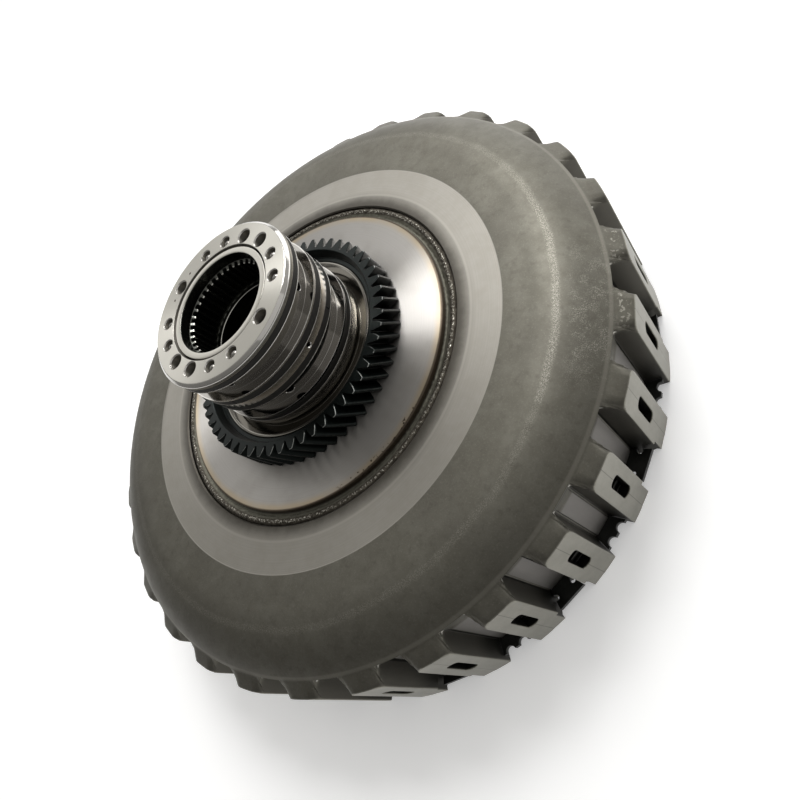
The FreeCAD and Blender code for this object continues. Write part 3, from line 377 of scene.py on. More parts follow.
def formed_steel():
    """The deep-drawn drum: mottled grey-olive, with its turned, sooty, worn and ground places, and
    painted highlights, glints and shade on its ridge, channels and windows.
    """
    f = Finish("formed_steel", Metallic=0.9)
    patches = f.noise(0.13, 5.0, 0.65)
    grain = f.noise(1.6, 3.0, 0.7)
    colour = f.mix(f.fade(patches, 0.35, 0.68), (0.12, 0.114, 0.094), (0.142, 0.136, 0.114))
    colour = f.mix(f.fade(f.noise(0.03, 4.0), 0.4, 0.65, 0.0, 0.5), colour, (0.108, 0.102, 0.086))
    colour = f.mix(f.fade(grain, 0.5, 0.8, 0.0, 0.4), colour, (0.22, 0.21, 0.18))
    mottle = f.noise(0.32, 6.0, 0.75)
    colour = f.mix(f.fade(mottle, 0.48, 0.72, 0.0, 0.6), colour, (0.092, 0.086, 0.071))
    rough = f.blend(f.fade(patches, 0.3, 0.7), 0.53, 0.5)
    colour, rough, land, rings = land_and_soot(f, colour, rough, patches)
    colour = wear_and_painted_highlights(f, colour)
    colour, rough, pad = channels_and_lugs(f, colour, rough, patches)

    height = f.math("ADD", f.math("MULTIPLY", grain, 0.5), f.math("MULTIPLY", patches, 0.5))
    plain = f.math("SUBTRACT", 1.0, f.math("MAXIMUM", pad, land))
    height = f.math("MULTIPLY", height, f.fade(plain, 0.0, 1.0, 0.12, 1.0))
    height = f.math("ADD", height, f.math("MULTIPLY", land, f.math("MULTIPLY", rings, 0.06)))
    return f.finish(colour, rough, f.bump(height, 0.045, 0.8))


def turned_disc():
    """Bright turned steel whose turning marks draw the light out into radial streaks."""
    f = Finish("turned_disc", Metallic=1.0, Anisotropic=0.95, Anisotropic_Rotation=0.25)
    f.draw_along_marks()
    rings = f.lines(f.radius, 2.2, 5.0)
    stain = f.noise(0.08, 3.0)
    colour = f.mix(rings, (0.372, 0.356, 0.335), (0.44, 0.424, 0.405))
    colour = f.mix(f.fade(stain, 0.45, 0.75, 0.0, 0.35), colour, (0.3, 0.285, 0.255))
    straw = f.both(f.fade(f.radius, 60.0, 62.9), f.fade(stain, 0.3, 0.6, 0.5, 1.0))
    colour = f.overlay(straw, 0.65, colour, (0.47, 0.37, 0.23))
    colour = f.mix(f.fade(f.radius, 62.9, 63.5), colour, (0.1, 0.08, 0.06))
    spatter = f.both(f.fade(f.noise(0.75, 1.0), 0.6, 0.63), f.band(f.radius, 63.1, 0.9, 0.5),
                     f.band(f.azimuth, 153.0, 14.0, 8.0))
    colour = f.mix(spatter, colour, (0.07, 0.055, 0.045))
    rough = f.blend(rings, 0.33, 0.38)
    return f.finish(colour, rough, f.bump(rings, 0.004, 0.5))


def ground_steel():
    """The hub: polished running lands, grooves and drillings darkened with painted shade, satin
    face, and a shiny foot painted dark as a painted reflection.
    """
    f = Finish("ground_steel", Metallic=1.0, Anisotropic=0.85, Anisotropic_Rotation=0.25)
    f.draw_along_marks()
    fine = f.lines(f.height, 6.0, 4.0)
    cloud = f.noise(0.15, 3.0)
    colour = f.mix(cloud, (0.5, 0.485, 0.46), (0.6, 0.585, 0.56))
    rough = f.blend(fine, 0.08, 0.11)
    # Painted shade in the grooves.
    groove_shade = f.both(f.fade(f.radius, 32.3, 31.9), f.fade(f.height, 102.5, 102.0),
                     f.fade(f.radius, 28.6, 28.8))
    colour = f.overlay(groove_shade, 0.55, colour, (0.16, 0.15, 0.135))
    # Painted shade in the drillings, darker with depth.
    holes = f.both(f.fade(f.radius, 28.75, 28.7), f.fade(f.height, HUB_TOP - 0.3, HUB_TOP - 0.5))
    depth = f.fade(f.height, HUB_TOP - 5.0, HUB_TOP - 1.5)
    colour = f.mix(holes, colour, f.mix(depth, (0.012, 0.011, 0.01), (0.36, 0.34, 0.3)))
    rough = f.blend(holes, rough, 0.45)
    top = f.both(f.fade(f.height, HUB_TOP - 0.1, HUB_TOP - 0.02), f.fade(f.radius, 22.0, 22.8))
    swirl = f.lines(f.radius, 4.0, 4.0)
    colour = f.mix(top, colour, f.mix(swirl, (0.43, 0.415, 0.375), (0.51, 0.495, 0.45)))
    rough = f.blend(top, rough, f.blend(swirl, 0.3, 0.36))
    # The shiny foot is painted dark as a painted reflection.
    foot = f.fade(f.height, 66.5, 66.3)
    colour = f.mix(foot, colour, (0.2, 0.19, 0.17))
    rough = f.blend(foot, rough, 0.1)
    return f.finish(colour, rough)


def sleeve_steel():
    """The hollow sleeve: a light face, a bore and splines darkened with painted shade, and painted
    highlights on the spline tips, tooth ends and lower lip.
    """
    f = Finish("sleeve_steel", Metallic=1.0)
    swirl = f.lines(f.radius, 5.0, 3.0)
    drawn = f.noise(0.8, 2.0, 0.5, (1.0, 1.0, 0.1))
    colour = f.mix(swirl, (0.4, 0.385, 0.345), (0.5, 0.485, 0.44))
    # Painted shade in the bore and splines.
    inside = f.both(f.fade(f.radius, 20.2, 20.0), f.fade(f.height, 103.75, 103.5))
    colour = f.mix(inside, colour, f.mix(drawn, (0.07, 0.075, 0.066), (0.16, 0.16, 0.145)))
    # Painted highlights along the spline teeth's tips.
    tip_highlights = f.both(f.fade(f.radius, 18.3, 18.15), f.fade(f.height, 87.0, 87.5))
    colour = f.mix(tip_highlights, colour, f.mix(drawn, (0.16, 0.165, 0.15), (0.34, 0.34, 0.31)))
    # Painted glints on the tooth ends and a painted highlight round the lower lip.
    ends = f.both(f.band(f.radius, 18.12, 0.12, 0.12), f.band(f.height, 98.75, 0.12, 0.15))
    painted_lip_line = f.both(f.band(f.radius, 17.7, 0.05, 0.08), f.band(f.height, 85.9, 0.06, 0.1))
    colour = f.mix(f.math("MAXIMUM", ends, painted_lip_line), colour, (0.55, 0.54, 0.5))
    rough = f.blend(inside, 0.3, 0.24)
    return f.finish(colour, rough, f.bump(drawn, 0.004, 0.5))


def black_gear():
    """Phosphated gear: green-black flanks, with painted highlights on its tooth tips and painted
    glints along the tooth edges of its end face.
    """
    f = Finish("black_gear", Metallic=0.75)
    cloud = f.noise(0.5, 4.0, 0.6)
    colour = f.mix(cloud, (0.006, 0.0085, 0.008), (0.013, 0.0175, 0.016))
    # Painted highlights on the tooth tips.
    tip = f.both(f.fade(f.radius, 46.35, 46.55), f.fade(f.noise(0.9, 2.0), 0.45, 0.6))
    colour = f.overlay(tip, 0.08, colour, (0.2, 0.21, 0.2))
    # Painted glints along the tooth edges at the end face.
    end = f.both(f.fade(f.height, GEAR_HIGH - 0.2, GEAR_HIGH - 0.14),
                 f.fade(f.height, GEAR_HIGH - 0.01, GEAR_HIGH - 0.04),
                 f.fade(f.radius, 42.6, 43.4), f.fade(f.noise(0.35, 1.0), 0.35, 0.5))
    colour = f.overlay(end, 0.75, colour, (0.42, 0.43, 0.41))
    rough = f.blend(cloud, 0.24, 0.4)
    return f.finish(colour, rough, f.bump(f.noise(1.6, 3.0), 0.02, 0.5))


def weld_metal():
    """A dark, sooty weld, with a thin sparkling line of painted highlight along the top of its bead
    and painted shade along both its toes.
    """
    f = Finish("weld_metal", Metallic=0.85)
    spark = f.noise(1.3, 3.0, 0.7)
    ripple = f.noise(0.5, 2.0)
    colour = f.mix(f.fade(ripple, 0.3, 0.7), (0.04, 0.034, 0.026), (0.066, 0.058, 0.045))
    wander = f.math("ADD", f.radius, f.math("MULTIPLY", ripple, 0.6))
    inner = f.fade(f.radius, 66.6, 65.8)
    colour = f.mix(inner, colour, (0.13, 0.125, 0.1))
    # A painted highlight of sparkles along the bead's top.
    crown_highlight = f.both(f.band(wander, 67.6, 0.4, 0.5), f.fade(spark, 0.5, 0.64))
    colour = f.mix(crown_highlight, colour, (0.36, 0.345, 0.3))
    # Painted shade in the creases along both toes of the bead.
    sides = f.math("MAXIMUM", f.band(f.radius, 64.1, 0.1, 0.3), f.band(f.radius, 68.9, 0.1, 0.5))
    colour = f.overlay(sides, 0.6, colour, (0.016, 0.014, 0.011))
    rough = f.blend(crown_highlight, 0.6, 0.35)
    return f.finish(colour, rough, f.bump(spark, 0.06, 0.8))


def plain_metal(name, dark, light, rough, metallic=1.0, grain=1.2, depth=0.02):
    """Steel or bronze with cloudy colour, fine grain and oil film."""
    f = Finish(name, Metallic=metallic)
    cloud = f.noise(0.12, 4.0, 0.6)
    fine = f.noise(grain, 4.0, 0.65)
    colour = f.mix(f.fade(cloud, 0.3, 0.7), dark, light)
    colour = f.mix(f.fade(fine, 0.5, 0.85, 0.0, 0.4), colour, [c * 1.35 for c in light])
    return f.finish(colour, f.blend(cloud, rough - 0.06, rough + 0.08), f.bump(fine, depth, 0.7))


def soft_part(name, dark, light, rough, depth=0.03):
    """Rubber, polymer or paper lining: matt, with a fibrous grain."""
    f = Finish(name, Metallic=0.0, Specular_IOR_Level=0.3)
    fibre = f.noise(1.8, 5.0, 0.7, (1.0, 1.0, 2.5))
    return f.finish(f.mix(fibre, dark, light), f.blend(fibre, rough - 0.08, rough + 0.08),
                    f.bump(fibre, depth, 0.8))


LOOKS = {
    "formed_steel": formed_steel(),
    "ground_steel": ground_steel(),
    "weld": weld_metal(),
    "blackened_steel": black_gear(),
    "seal_polymer": soft_part("seal_polymer", (0.006, 0.006, 0.005), (0.02, 0.018, 0.016), 0.5),
    "seal_rubber": soft_part("seal_rubber", (0.01, 0.01, 0.01), (0.03, 0.03, 0.03), 0.6),
    "bearing_steel": plain_metal("bearing_steel", (0.16, 0.155, 0.14), (0.26, 0.25, 0.235), 0.22,
                                 1.0, 0.9, 0.12),
    "bronze": plain_metal("bronze", (0.42, 0.29, 0.15), (0.58, 0.42, 0.22), 0.34),
    "dark_plate": plain_metal("dark_plate", (0.012, 0.013, 0.011), (0.028, 0.029, 0.026), 0.4,
                              0.7),
    "spring_steel": plain_metal("spring_steel", (0.1, 0.1, 0.105), (0.2, 0.2, 0.21), 0.36),
    "pressed_steel": plain_metal("pressed_steel", (0.3, 0.3, 0.295), (0.42, 0.42, 0.41), 0.38),
    "plate_steel": plain_metal("plate_steel", (0.05, 0.049, 0.045), (0.09, 0.088, 0.082), 0.36),
    "friction_lining": soft_part("friction_lining", (0.12, 0.075, 0.045), (0.26, 0.18, 0.11),
                                 0.85, 0.08),
}


# ---------- Outer drum
DRUM_RADIUS = 126.2
RIDGE = (120.5, 48.3)             # radius and height of the drawing ridge
LUG_TOP = 45.0
LUG_CORNER = 3.4
FLOOR_RADII = (117.8, 119.3)      # plain and notched channels take turns
FLOOR_TOP = 35.2
CHANNEL_END = 5.75
DRUM_INNER = 114.4
LUG_INNER = 122.8
INNER_TOP = 44.0                  # the inside wall's rows stop here, under the shoulder
RIM_STEP_TOP = 9.0                # plain channels have stepped walls below this
RIM_STEP_RADII = (121.8, 124.7)
# Half widths, as angles at the axis
FLOOR_HALF = 2.091
MOUTH_HALF = 3.042
RIM_STEP_HALF = 3.541
CUT_HALF = 1.707                  # of the gap below the channel's end
PANEL_HALF = 1.91                 # of the panel that a groove borders on the channel's floor
LUG_INNER_HALF = 1.68
# The patch of faces that makes way for each window
PATCH_HALF_ANGLE = 1.45
PATCH_HALF_HEIGHT = 9.6


def soft_max(a, b, size):
    """The larger of two numbers, with the corner between them rounded."""
    blend = np.clip(size - np.abs(a - b), 0, None) / size
    return np.maximum(a, b) + blend ** 2 * size / 4


def soft_min(a, b, size):
    """The smaller of two numbers, rounded likewise."""
    return -soft_max(-a, -b, size)


def shoulder(start, end, radius, steps):
    """Points (r, z) of the arc that bulges outward from start to end, without its end."""
    a = np.array(start)
    b = np.array(end)
    along = b - a
    length = np.linalg.norm(along)
    normal = np.array([-along[1], along[0]]) / length
    centre = (a + b) / 2 - normal * math.sqrt(radius ** 2 - (length / 2) ** 2)
    first = math.atan2(*(a - centre)[::-1])
    last = math.atan2(*(b - centre)[::-1])
    angles = first + (last - first) * np.arange(steps) / steps
    return [(centre[0] + radius * math.cos(t), centre[1] + radius * math.sin(t)) for t in angles]


def wall_radius(away, height, plain):
    """Radius of a channel's leaning side wall at an angle from the channel's middle."""
    slope = (DRUM_RADIUS - FLOOR_RADII[0]) / (MOUTH_HALF - FLOOR_HALF)
    wall = FLOOR_RADII[0] + (away - FLOOR_HALF) * slope
    if plain and height < RIM_STEP_TOP:
        foot, head = RIM_STEP_RADII
        foot_angle = FLOOR_HALF + (foot - FLOOR_RADII[0]) / slope
        step = foot + (away - foot_angle) * (head - foot) / (RIM_STEP_HALF - foot_angle)
        step = np.where(away > RIM_STEP_HALF, DRUM_RADIUS, step)
        wall = np.where(away > foot_angle, step, wall)
    return wall


def outer_radius(from_lug, height, plain):
    """Radius of the drum's outer skin below the ridge."""
    away = HALF_PITCH - np.abs(from_lug)
    edge = (MOUTH_HALF - away) / math.degrees(1 / DRUM_RADIUS)
    dip = np.clip(LUG_CORNER + edge, 0, LUG_CORNER)
    top = LUG_TOP - (LUG_CORNER - np.sqrt(LUG_CORNER ** 2 - dip ** 2)) * (dip > 0)
    rise = np.clip((RIDGE[1] - height) / (RIDGE[1] - top), 0, 1)
    lug = RIDGE[0] + (DRUM_RADIUS - RIDGE[0]) * (0.8 * rise + 0.2 * np.sin(rise * math.pi / 2))
    floor_radius = FLOOR_RADII[0] if plain else FLOOR_RADII[1]
    fall = np.clip((RIDGE[1] - height) / (RIDGE[1] - FLOOR_TOP), 0, 1)
    floor = RIDGE[0] + (floor_radius - RIDGE[0]) * np.minimum(1, fall * 2.2) ** 0.8
    border = np.clip((0.2 - np.abs(away - PANEL_HALF)) / 0.05, 0, 1)
    groove = 0.35 * border * np.clip(fall * 3 - 1, 0, 1)
    channel = soft_max(floor - groove, wall_radius(away, height, plain), 0.7)
    return soft_min(lug, channel, 0.35)


def inner_radius(from_lug, height):
    """Radius of the drum's inside, with two ring seats at the rim and hollow lugs."""
    radius = np.full(len(from_lug), DRUM_INNER)
    for low, high, seat in ((1.3, 3.5, 119.8), (5.8, 7.7, 116.5)):
        if low < height < high:
            radius[:] = seat
    if height < 43.5:
        radius = np.where(np.abs(from_lug) < LUG_INNER_HALF, LUG_INNER, radius)
    return radius


def window_point(side, up):
    """A point on the window's edge, from a point on its patch's border (-1 to 1)."""
    half_width, half_height, corner = WINDOW
    x, y = side * half_width, up * half_height
    over_x, over_y = abs(x) - (half_width - corner), abs(y) - (half_height - corner)
    if over_x > 0 and over_y > 0:
        length = math.hypot(over_x, over_y)
        x = math.copysign(half_width - corner + over_x / length * corner, x)
        y = math.copysign(half_height - corner + over_y / length * corner, y)
    return x, y


def drum_columns():
    """Angles from the lug's middle, one cell wide, finer where the section turns."""
    half = np.array([0, 0.5, 1.0, PATCH_HALF_ANGLE, 1.66, 1.70, 2.1, 2.44, 2.478, 2.7, 2.86, 2.96,
                     3.06, 3.25, 3.48, 3.66, 3.78, 3.885, 3.94, 4.09, 4.24, 4.294, 4.7, 5.3])
    return np.concatenate([[-HALF_PITCH], -half[:0:-1], half])


def drum_rows():
    """Heights of the skin's rows below the ridge, and where the windows' rows start and end."""
    patch = [PATCH_HALF_HEIGHT, 9.1, 8.5, 7.8, 7.0, 4.5]
    patch += [0] + [-offset for offset in reversed(patch)]
    above = [47.9, 47.3, 46.6, 46.0, 45.5, 45.2, 45.0, 44.7, 44.3, 43.8, 43.55, 43.45, 42.6, 41.5,
             40.0, 38.5, 37.2, 36.2, FLOOR_TOP]
    below = [12.0, 9.03, 8.97, 7.72, 7.68, 5.82, 5.78, CHANNEL_END + 0.001, CHANNEL_END - 0.001,
             3.52, 3.48, 1.32, 1.28, 0.3, 0.0]
    heights = above + [WINDOW_MIDDLE + offset for offset in patch] + below
    return heights, len(above), len(above) + len(patch) - 1


class DrumSkin:
    """Points and faces of the drum, in cells of one lug with half a channel on each side."""

    def __init__(self):
        self.columns = drum_columns()
        self.heights, self.patch_top, self.patch_end = drum_rows()
        self.cell = len(self.columns)
        self.round = self.cell * LUGS
        self.on_patch = np.abs(self.columns) <= PATCH_HALF_ANGLE + 1e-6
        self.on_channel = HALF_PITCH - np.abs(self.columns) < CUT_HALF
        self.faces = []
        rows = self.make_rows()
        self.points = [np.concatenate(rows)]
        self.cover(len(rows))
        for lug in range(LUGS):
            self.cut_window(lug)

    def outer_row(self, index):
        return self.outer_first + index

    def inner_row(self, index):
        return self.inner_first + len(self.heights) - 1 - index

    def outside(self, height):
        """One outer row: each half cell has the channel type of its side."""
        plain, notched = (outer_radius(self.columns, height, kind) for kind in (True, False))
        even = np.where(self.columns < 0, notched, plain)
        odd = np.where(self.columns < 0, plain, notched)
        return np.tile(np.concatenate([even, odd]), LUGS // 2)

    def make_rows(self):
        """Rows over the shoulder, down the outside and back up the inside."""
        middles = HALF_PITCH + 2 * HALF_PITCH * np.arange(LUGS)
        angle = np.radians((middles[:, None] + self.columns).ravel())
        top = [(69.0, 53.8), (69.0, 56.9), (69.5, 57.4), (76.0, 57.4), (86.3, 57.4), (86.6, 57.6),
               (92.0, 57.6)] + shoulder((98.0, 57.6), RIDGE, 31.8, 18) + [RIDGE]
        rows = [polar(radius, angle, height) for radius, height in top]
        self.outer_first = len(rows)
        rows += [polar(self.outside(height), angle, height) for height in self.heights]
        self.inner_first = len(rows)
        rows += [polar(np.tile(inner_radius(self.columns, height), LUGS), angle, height)
                 for height in reversed(self.heights) if height <= INNER_TOP]
        under = shoulder((98.0, 53.8), (DRUM_INNER, 48.6), 28.2, 8)
        under = [(DRUM_INNER, 46.0), (DRUM_INNER, 48.6)] + under[::-1] + [(84.0, 53.8)]
        return rows + [polar(radius, angle, height) for radius, height in under]

    def cover(self, row_count):
        """Faces between rows, open at the windows' patches and below the channels' ends."""
        end, last = self.heights.index(CHANNEL_END + 0.001), len(self.heights) - 1
        low = range(end, last)
        patch = range(self.patch_top, self.patch_end)
        open_low = {self.outer_row(i) for i in low} | {self.inner_row(i + 1) for i in low}
        open_low.add(self.outer_row(last))
        open_patch = {self.outer_row(i) for i in patch} | {self.inner_row(i + 1) for i in patch}
        for column in range(self.round):
            pair = [column % self.cell, (column + 1) % self.cell]
            is_open = set()
            if self.on_patch[pair].all():
                is_open = open_patch
            elif self.on_channel[pair].all():
                is_open = open_low
                self.add_face(self.outer_row(end), self.inner_row(end), column)
            for row in range(row_count):
                if row not in is_open:
                    self.add_face(row, (row + 1) % row_count, column)

    def add_face(self, row, other, column):
        after = (column + 1) % self.round
        self.faces.append((row * self.round + column, row * self.round + after,
                           other * self.round + after, other * self.round + column))

    def cut_window(self, lug):
        """A rounded slot through a lug, joined to the border of its patch inside and outside."""
        columns = np.flatnonzero(self.on_patch).tolist()
        rows = range(self.patch_top, self.patch_end + 1)
        border = [(c, rows[0]) for c in columns] + [(columns[-1], i) for i in rows[1:]]
        border += [(c, rows[-1]) for c in columns[-2::-1]] + [(columns[0], i) for i in rows[-2:0:-1]]
        edge = np.array([window_point(self.columns[c] / PATCH_HALF_ANGLE,
                                      (self.heights[i] - WINDOW_MIDDLE) / PATCH_HALF_HEIGHT)
                         for c, i in border])
        count = len(border)
        ease = 0.22
        chain = [[self.outer_row(i) * self.round + lug * self.cell + c for c, i in border]]
        for radius, grow in ((DRUM_RADIUS, ease), (DRUM_RADIUS - ease * 0.4, ease * 0.3),
                             (DRUM_RADIUS - ease, 0), (LUG_INNER + 0.1, 0), (LUG_INNER, 0.1)):
            outline = edge * (1 + grow / np.array(WINDOW[:2]))
            angle = math.radians(HALF_PITCH * (1 + 2 * lug)) + outline[:, 0] / DRUM_RADIUS
            made = sum(len(points) for points in self.points)
            chain.append(list(range(made, made + count)))
            self.points.append(polar(radius, angle, WINDOW_MIDDLE + outline[:, 1]))
        chain.append([self.inner_row(i) * self.round + lug * self.cell + c for c, i in border])
        for one, two in zip(chain, chain[1:]):
            for k in range(count):
                after = (k + 1) % count
                self.faces.append((one[k], one[after], two[after], two[k]))


def make_drum():
    skin = DrumSkin()
    mesh = mesh_of("drum_shell", np.concatenate(skin.points), skin.faces, 38)
    piece("drum_shell", mesh, LOOKS["formed_steel"], "housing", "formed_steel", "outer_drum")


# ---------- Hub, flange, weld, seal rings and plugs
HUB_RADIUS = 32.5
GALLERY_CIRCLE = 25.95
FIRST_HOLE = 273.98
OPEN_HOLES = [FIRST_HOLE - step - half for half in (0, 180) for step in (0, 22.5, 101.25)]
PLUGGED_HOLES = [FIRST_HOLE - step - half for half in (0, 180) for step in (45, 67.5, 135, 157.5)]
# Grooves of the hub from the top down: high edge, low edge, floor radius
GROOVES = ((101.3, 99.0, 29.9), (98.5, 90.9, 28.9), (90.0, 87.2, 29.9), (84.2, 81.7, 29.9),
           (81.2, 73.8, 29.0), (72.8, 70.3, 29.9))


def at_gallery(shape, azimuth):
    """A shape moved from the axis out to the circle of drillings."""
    points, faces = shape
    return points + polar(GALLERY_CIRCLE, np.radians([azimuth]), 0), faces


def vertical_cutter(azimuth, radius, depth):
    """A drill that comes down on the hub's face and leaves a small countersink."""
    flare = 0.15 * radius
    levels = [(0.001, HUB_TOP - depth - radius * 0.5), (radius, HUB_TOP - depth),
              (radius, HUB_TOP - flare), (radius + flare, HUB_TOP), (radius + flare, HUB_TOP + 1),
              (0.001, HUB_TOP + 1)]
    return at_gallery(stack([circle(r, z, 28) for r, z in levels]), azimuth)


def radial_cutter(azimuth, height, radius, floor_radius):
    """A drill that comes in from the side into a groove's floor."""
    flare = 0.35
    levels = [(0.001, 24.0), (radius, 24.0), (radius, floor_radius - flare),
              (radius + flare, floor_radius + 0.02), (radius + flare, floor_radius + 0.9),
              (0.001, floor_radius + 0.9)]
    points, faces = stack([circle(r, reach, 28)[:, (2, 0, 1)] for r, reach in levels])
    x, y, z = points.T
    angle = math.radians(azimuth)
    return np.stack([x * math.cos(angle) - y * math.sin(angle),
                     x * math.sin(angle) + y * math.cos(angle), z + height], 1), faces


def make_hub():
    corners = [(26.0, 27.4, 0.3), (36.0, 27.4, 0.4), (36.0, 28.0, 0), (34.6, 28.0, 0),
               (34.6, 29.4, 0), (36.0, 29.4, 0.1), (36.0, 58.2, 0), (37.6, 58.2, 0),
               (37.6, 66.2, 0.3), (36.6, 66.2, 0.3), (32.0, 63.4, 0.15), (32.0, 66.6, 0),
               (HUB_RADIUS, 66.6, 0.1)]
    for high, low, floor in reversed(GROOVES):
        corners += [(HUB_RADIUS, low, 0.14), (floor, low, 0.25), (floor, high, 0.25),
                    (HUB_RADIUS, high, 0.14)]
    corners += [(HUB_RADIUS, HUB_TOP - 1.2, 0.3), (HUB_RADIUS - 1.2, HUB_TOP, 0.3),
                (22.7, HUB_TOP, 0.25), (22.7, 44.0, 0), (26.0, 44.0, 0)]
    mesh = lathe("hub", corners, 320)
    down = [vertical_cutter(azimuth, 2.7, 36.0) for azimuth in OPEN_HOLES]
    down += [vertical_cutter(azimuth, 2.2, 31.0) for azimuth in PLUGGED_HOLES]
    down += [vertical_cutter(azimuth, 0.45, 0.7) for azimuth in (5.0, 339.0)]
    mesh = drilled(mesh, down)
    sideways = [radial_cutter(FIRST_HOLE - 67.5 + 90 * k, 95.4, 1.9, 28.9) for k in range(4)]
    sideways += [radial_cutter(FIRST_HOLE - 45 + 90 * k, 77.5, 1.9, 29.0) for k in range(4)]
    sideways += [radial_cutter(FIRST_HOLE - 101.25 + 180 * k, 85.7, 0.8, HUB_RADIUS)
                 for k in range(2)]
    mesh = drilled(mesh, sideways)
    piece("hub_tube", mesh, LOOKS["ground_steel"], "housing", "ground_steel", "main_hub")


def make_flange():
    corners = [(36.0, 52.2, 0), (64.0, 52.2, 0.4), (64.0, 58.2, 0.7), (38.6, 58.2, 0),
               (36.0, 58.2, 0)]
    piece("flange_disc", lathe("flange_disc", corners, 360), turned_disc(), "housing",
          "ground_steel", "hub_flange")


def make_weld():
    """A crowned bead in its groove, with the ripples that the torch leaves."""
    section = rounded([(64.0, 53.8, 0), (69.0, 53.8, 0), (69.0, 56.2, 0.3), (68.4, 56.6, 0.4),
                       (67.4, 57.05, 0.6), (66.2, 56.4, 0.6), (64.9, 55.7, 0.5), (64.0, 56.0, 0)], 4)
    count = 900
    loops = []
    for point in section:
        loop = circle(point.x, point.y, count)
        if point.y > 54.5:
            for k, (x, y, z) in enumerate(loop):
                ripple = noise.noise(Vector((x * 0.9, y * 0.9, z * 0.7)))
                fine = noise.noise(Vector((x * 2.3, y * 2.3, z * 2.0)))
                loop[k, 2] += 0.22 * ripple + 0.1 * fine
        loops.append(loop)
    piece("weld_ring", mesh_of("weld_ring", *stack(loops)), LOOKS["weld"], "housing", "weld",
          "weld_bead")


def make_seal_rings():
    """Four rings with a butt gap each, the gaps turned away from one another."""
    for index, (high, low, floor) in enumerate([g for g in GROOVES if g[0] - g[1] < 3]):
        node = f"seal_ring_{index + 1}"
        corners = [(floor + 0.15, low + 0.1, 0.1), (32.45, low + 0.1, 0.2),
                   (32.45, high - 0.1, 0.2), (floor + 0.15, high - 0.1, 0.1)]
        loops = [circle(p.x, p.y, 200, 90.0 * index + 20.4, 359.2, closed=False)
                 for p in rounded(corners)]
        mesh = mesh_of(node + "_piece", *stack(loops, closed_round=False))
        piece(node + "_piece", mesh, LOOKS["seal_polymer"], "housing", "seal_polymer", node)


def make_plugs():
    """The balls that close eight of the drillings."""
    ball, middle = 2.19, HUB_TOP - 2.9
    levels = [math.radians(-90 + 180 * k / 14) for k in range(15)]
    shape = stack([circle(max(ball * math.cos(t), 0.002), middle + ball * math.sin(t), 28)
                   for t in levels])
    shapes = [at_gallery(shape, azimuth) for azimuth in PLUGGED_HOLES]
    piece("plug_balls", mesh_of("plug_balls", *joined(shapes)), LOOKS["bearing_steel"], "housing",
          "bearing_steel", "gallery_plugs")


# ---------- Gear and splined sleeve
GEAR_TEETH = 55
GEAR_ROOT = 42.2
GEAR_TIP = 46.6
GEAR_FACE_INNER = 41.9
HELIX_ANGLE = 29.0
SLEEVE_TEETH = 40


def toothed(count, phase, height, outline):
    """A loop round the axis that repeats a tooth outline of (radius, share of pitch)."""
    pitch = 2 * math.pi / count
    radius = np.tile([r for r, share in outline], count)
    share = np.tile([share for r, share in outline], count)
    angle = math.radians(phase) + (np.repeat(np.arange(count), len(outline)) + share) * pitch
    return polar(radius, angle, height)


def gear_tooth(tip, thin):
    """Half flank from the root fillet to the tip, mirrored to the other side."""
    half = [(GEAR_ROOT, 0.47), (GEAR_ROOT + 0.1, 0.445), (GEAR_ROOT + 0.35, 0.405)]
    for t in (0.2, 0.4, 0.6, 0.8, 0.93):
        half.append((GEAR_ROOT + (GEAR_TIP - GEAR_ROOT) * t,
                     0.43 - 0.33 * t + 0.03 * math.sin(math.pi * t)))
    half += [(GEAR_TIP - 0.08, 0.085), (GEAR_TIP, 0.06)]
    flank = [(min(r, tip), share - thin) for r, share in half]
    return [(r, -share) for r, share in flank] + [(r, share) for r, share in reversed(flank)]


def make_gear():
    """A helical gear whose teeth are eased at both faces."""
    lead = math.degrees(math.tan(math.radians(HELIX_ANGLE)) / GEAR_TIP)
    levels = [(GEAR_LOW, 0.1, 0.01), (GEAR_LOW + 0.15, 0, 0)]
    levels += [(z, 0, 0) for z in np.linspace(GEAR_LOW + 1.4, GEAR_HIGH - 1.4, 7)]
    levels += [(GEAR_HIGH - 0.45, 0, 0), (GEAR_HIGH - 0.18, 0.2, 0.004), (GEAR_HIGH, 0.45, 0.022)]
    toothed_loops = [toothed(GEAR_TEETH, 6.4 + lead * (GEAR_HIGH - height), height,
                             gear_tooth(GEAR_TIP - drop, thin)) for height, drop, thin in levels]

    def ring(radius, height, like):
        return polar(radius, np.arctan2(like[:, 1], like[:, 0]), height)

    low, high = toothed_loops[0], toothed_loops[-1]
    loops = [ring(37.6, GEAR_LOW, low), ring(GEAR_FACE_INNER, GEAR_LOW, low)] + toothed_loops
    for radius, height in ((GEAR_FACE_INNER, GEAR_HIGH), (41.1, GEAR_HIGH),
                           (40.9, GEAR_HIGH - 0.12), (39.75, GEAR_HIGH - 2.3),
                           (39.65, GEAR_HIGH - 2.6), (39.65, 66.45), (39.4, 66.2), (38.1, 66.2),
                           (37.6, 65.8)):
        loops.append(ring(radius, height, high))
    piece("pump_gear", mesh_of("pump_gear", *stack(loops), 28), LOOKS["blackened_steel"],
          "housing", "blackened_steel", "pump_drive_gear")


def spline_tooth(minor, major):
    """One inward tooth and the gap beside it."""
    half = [(major, 0.30), (major - 0.12, 0.24), (minor + 0.1, 0.17), (minor, 0.13)]
    return [(r, -share) for r, share in half] + half[::-1]


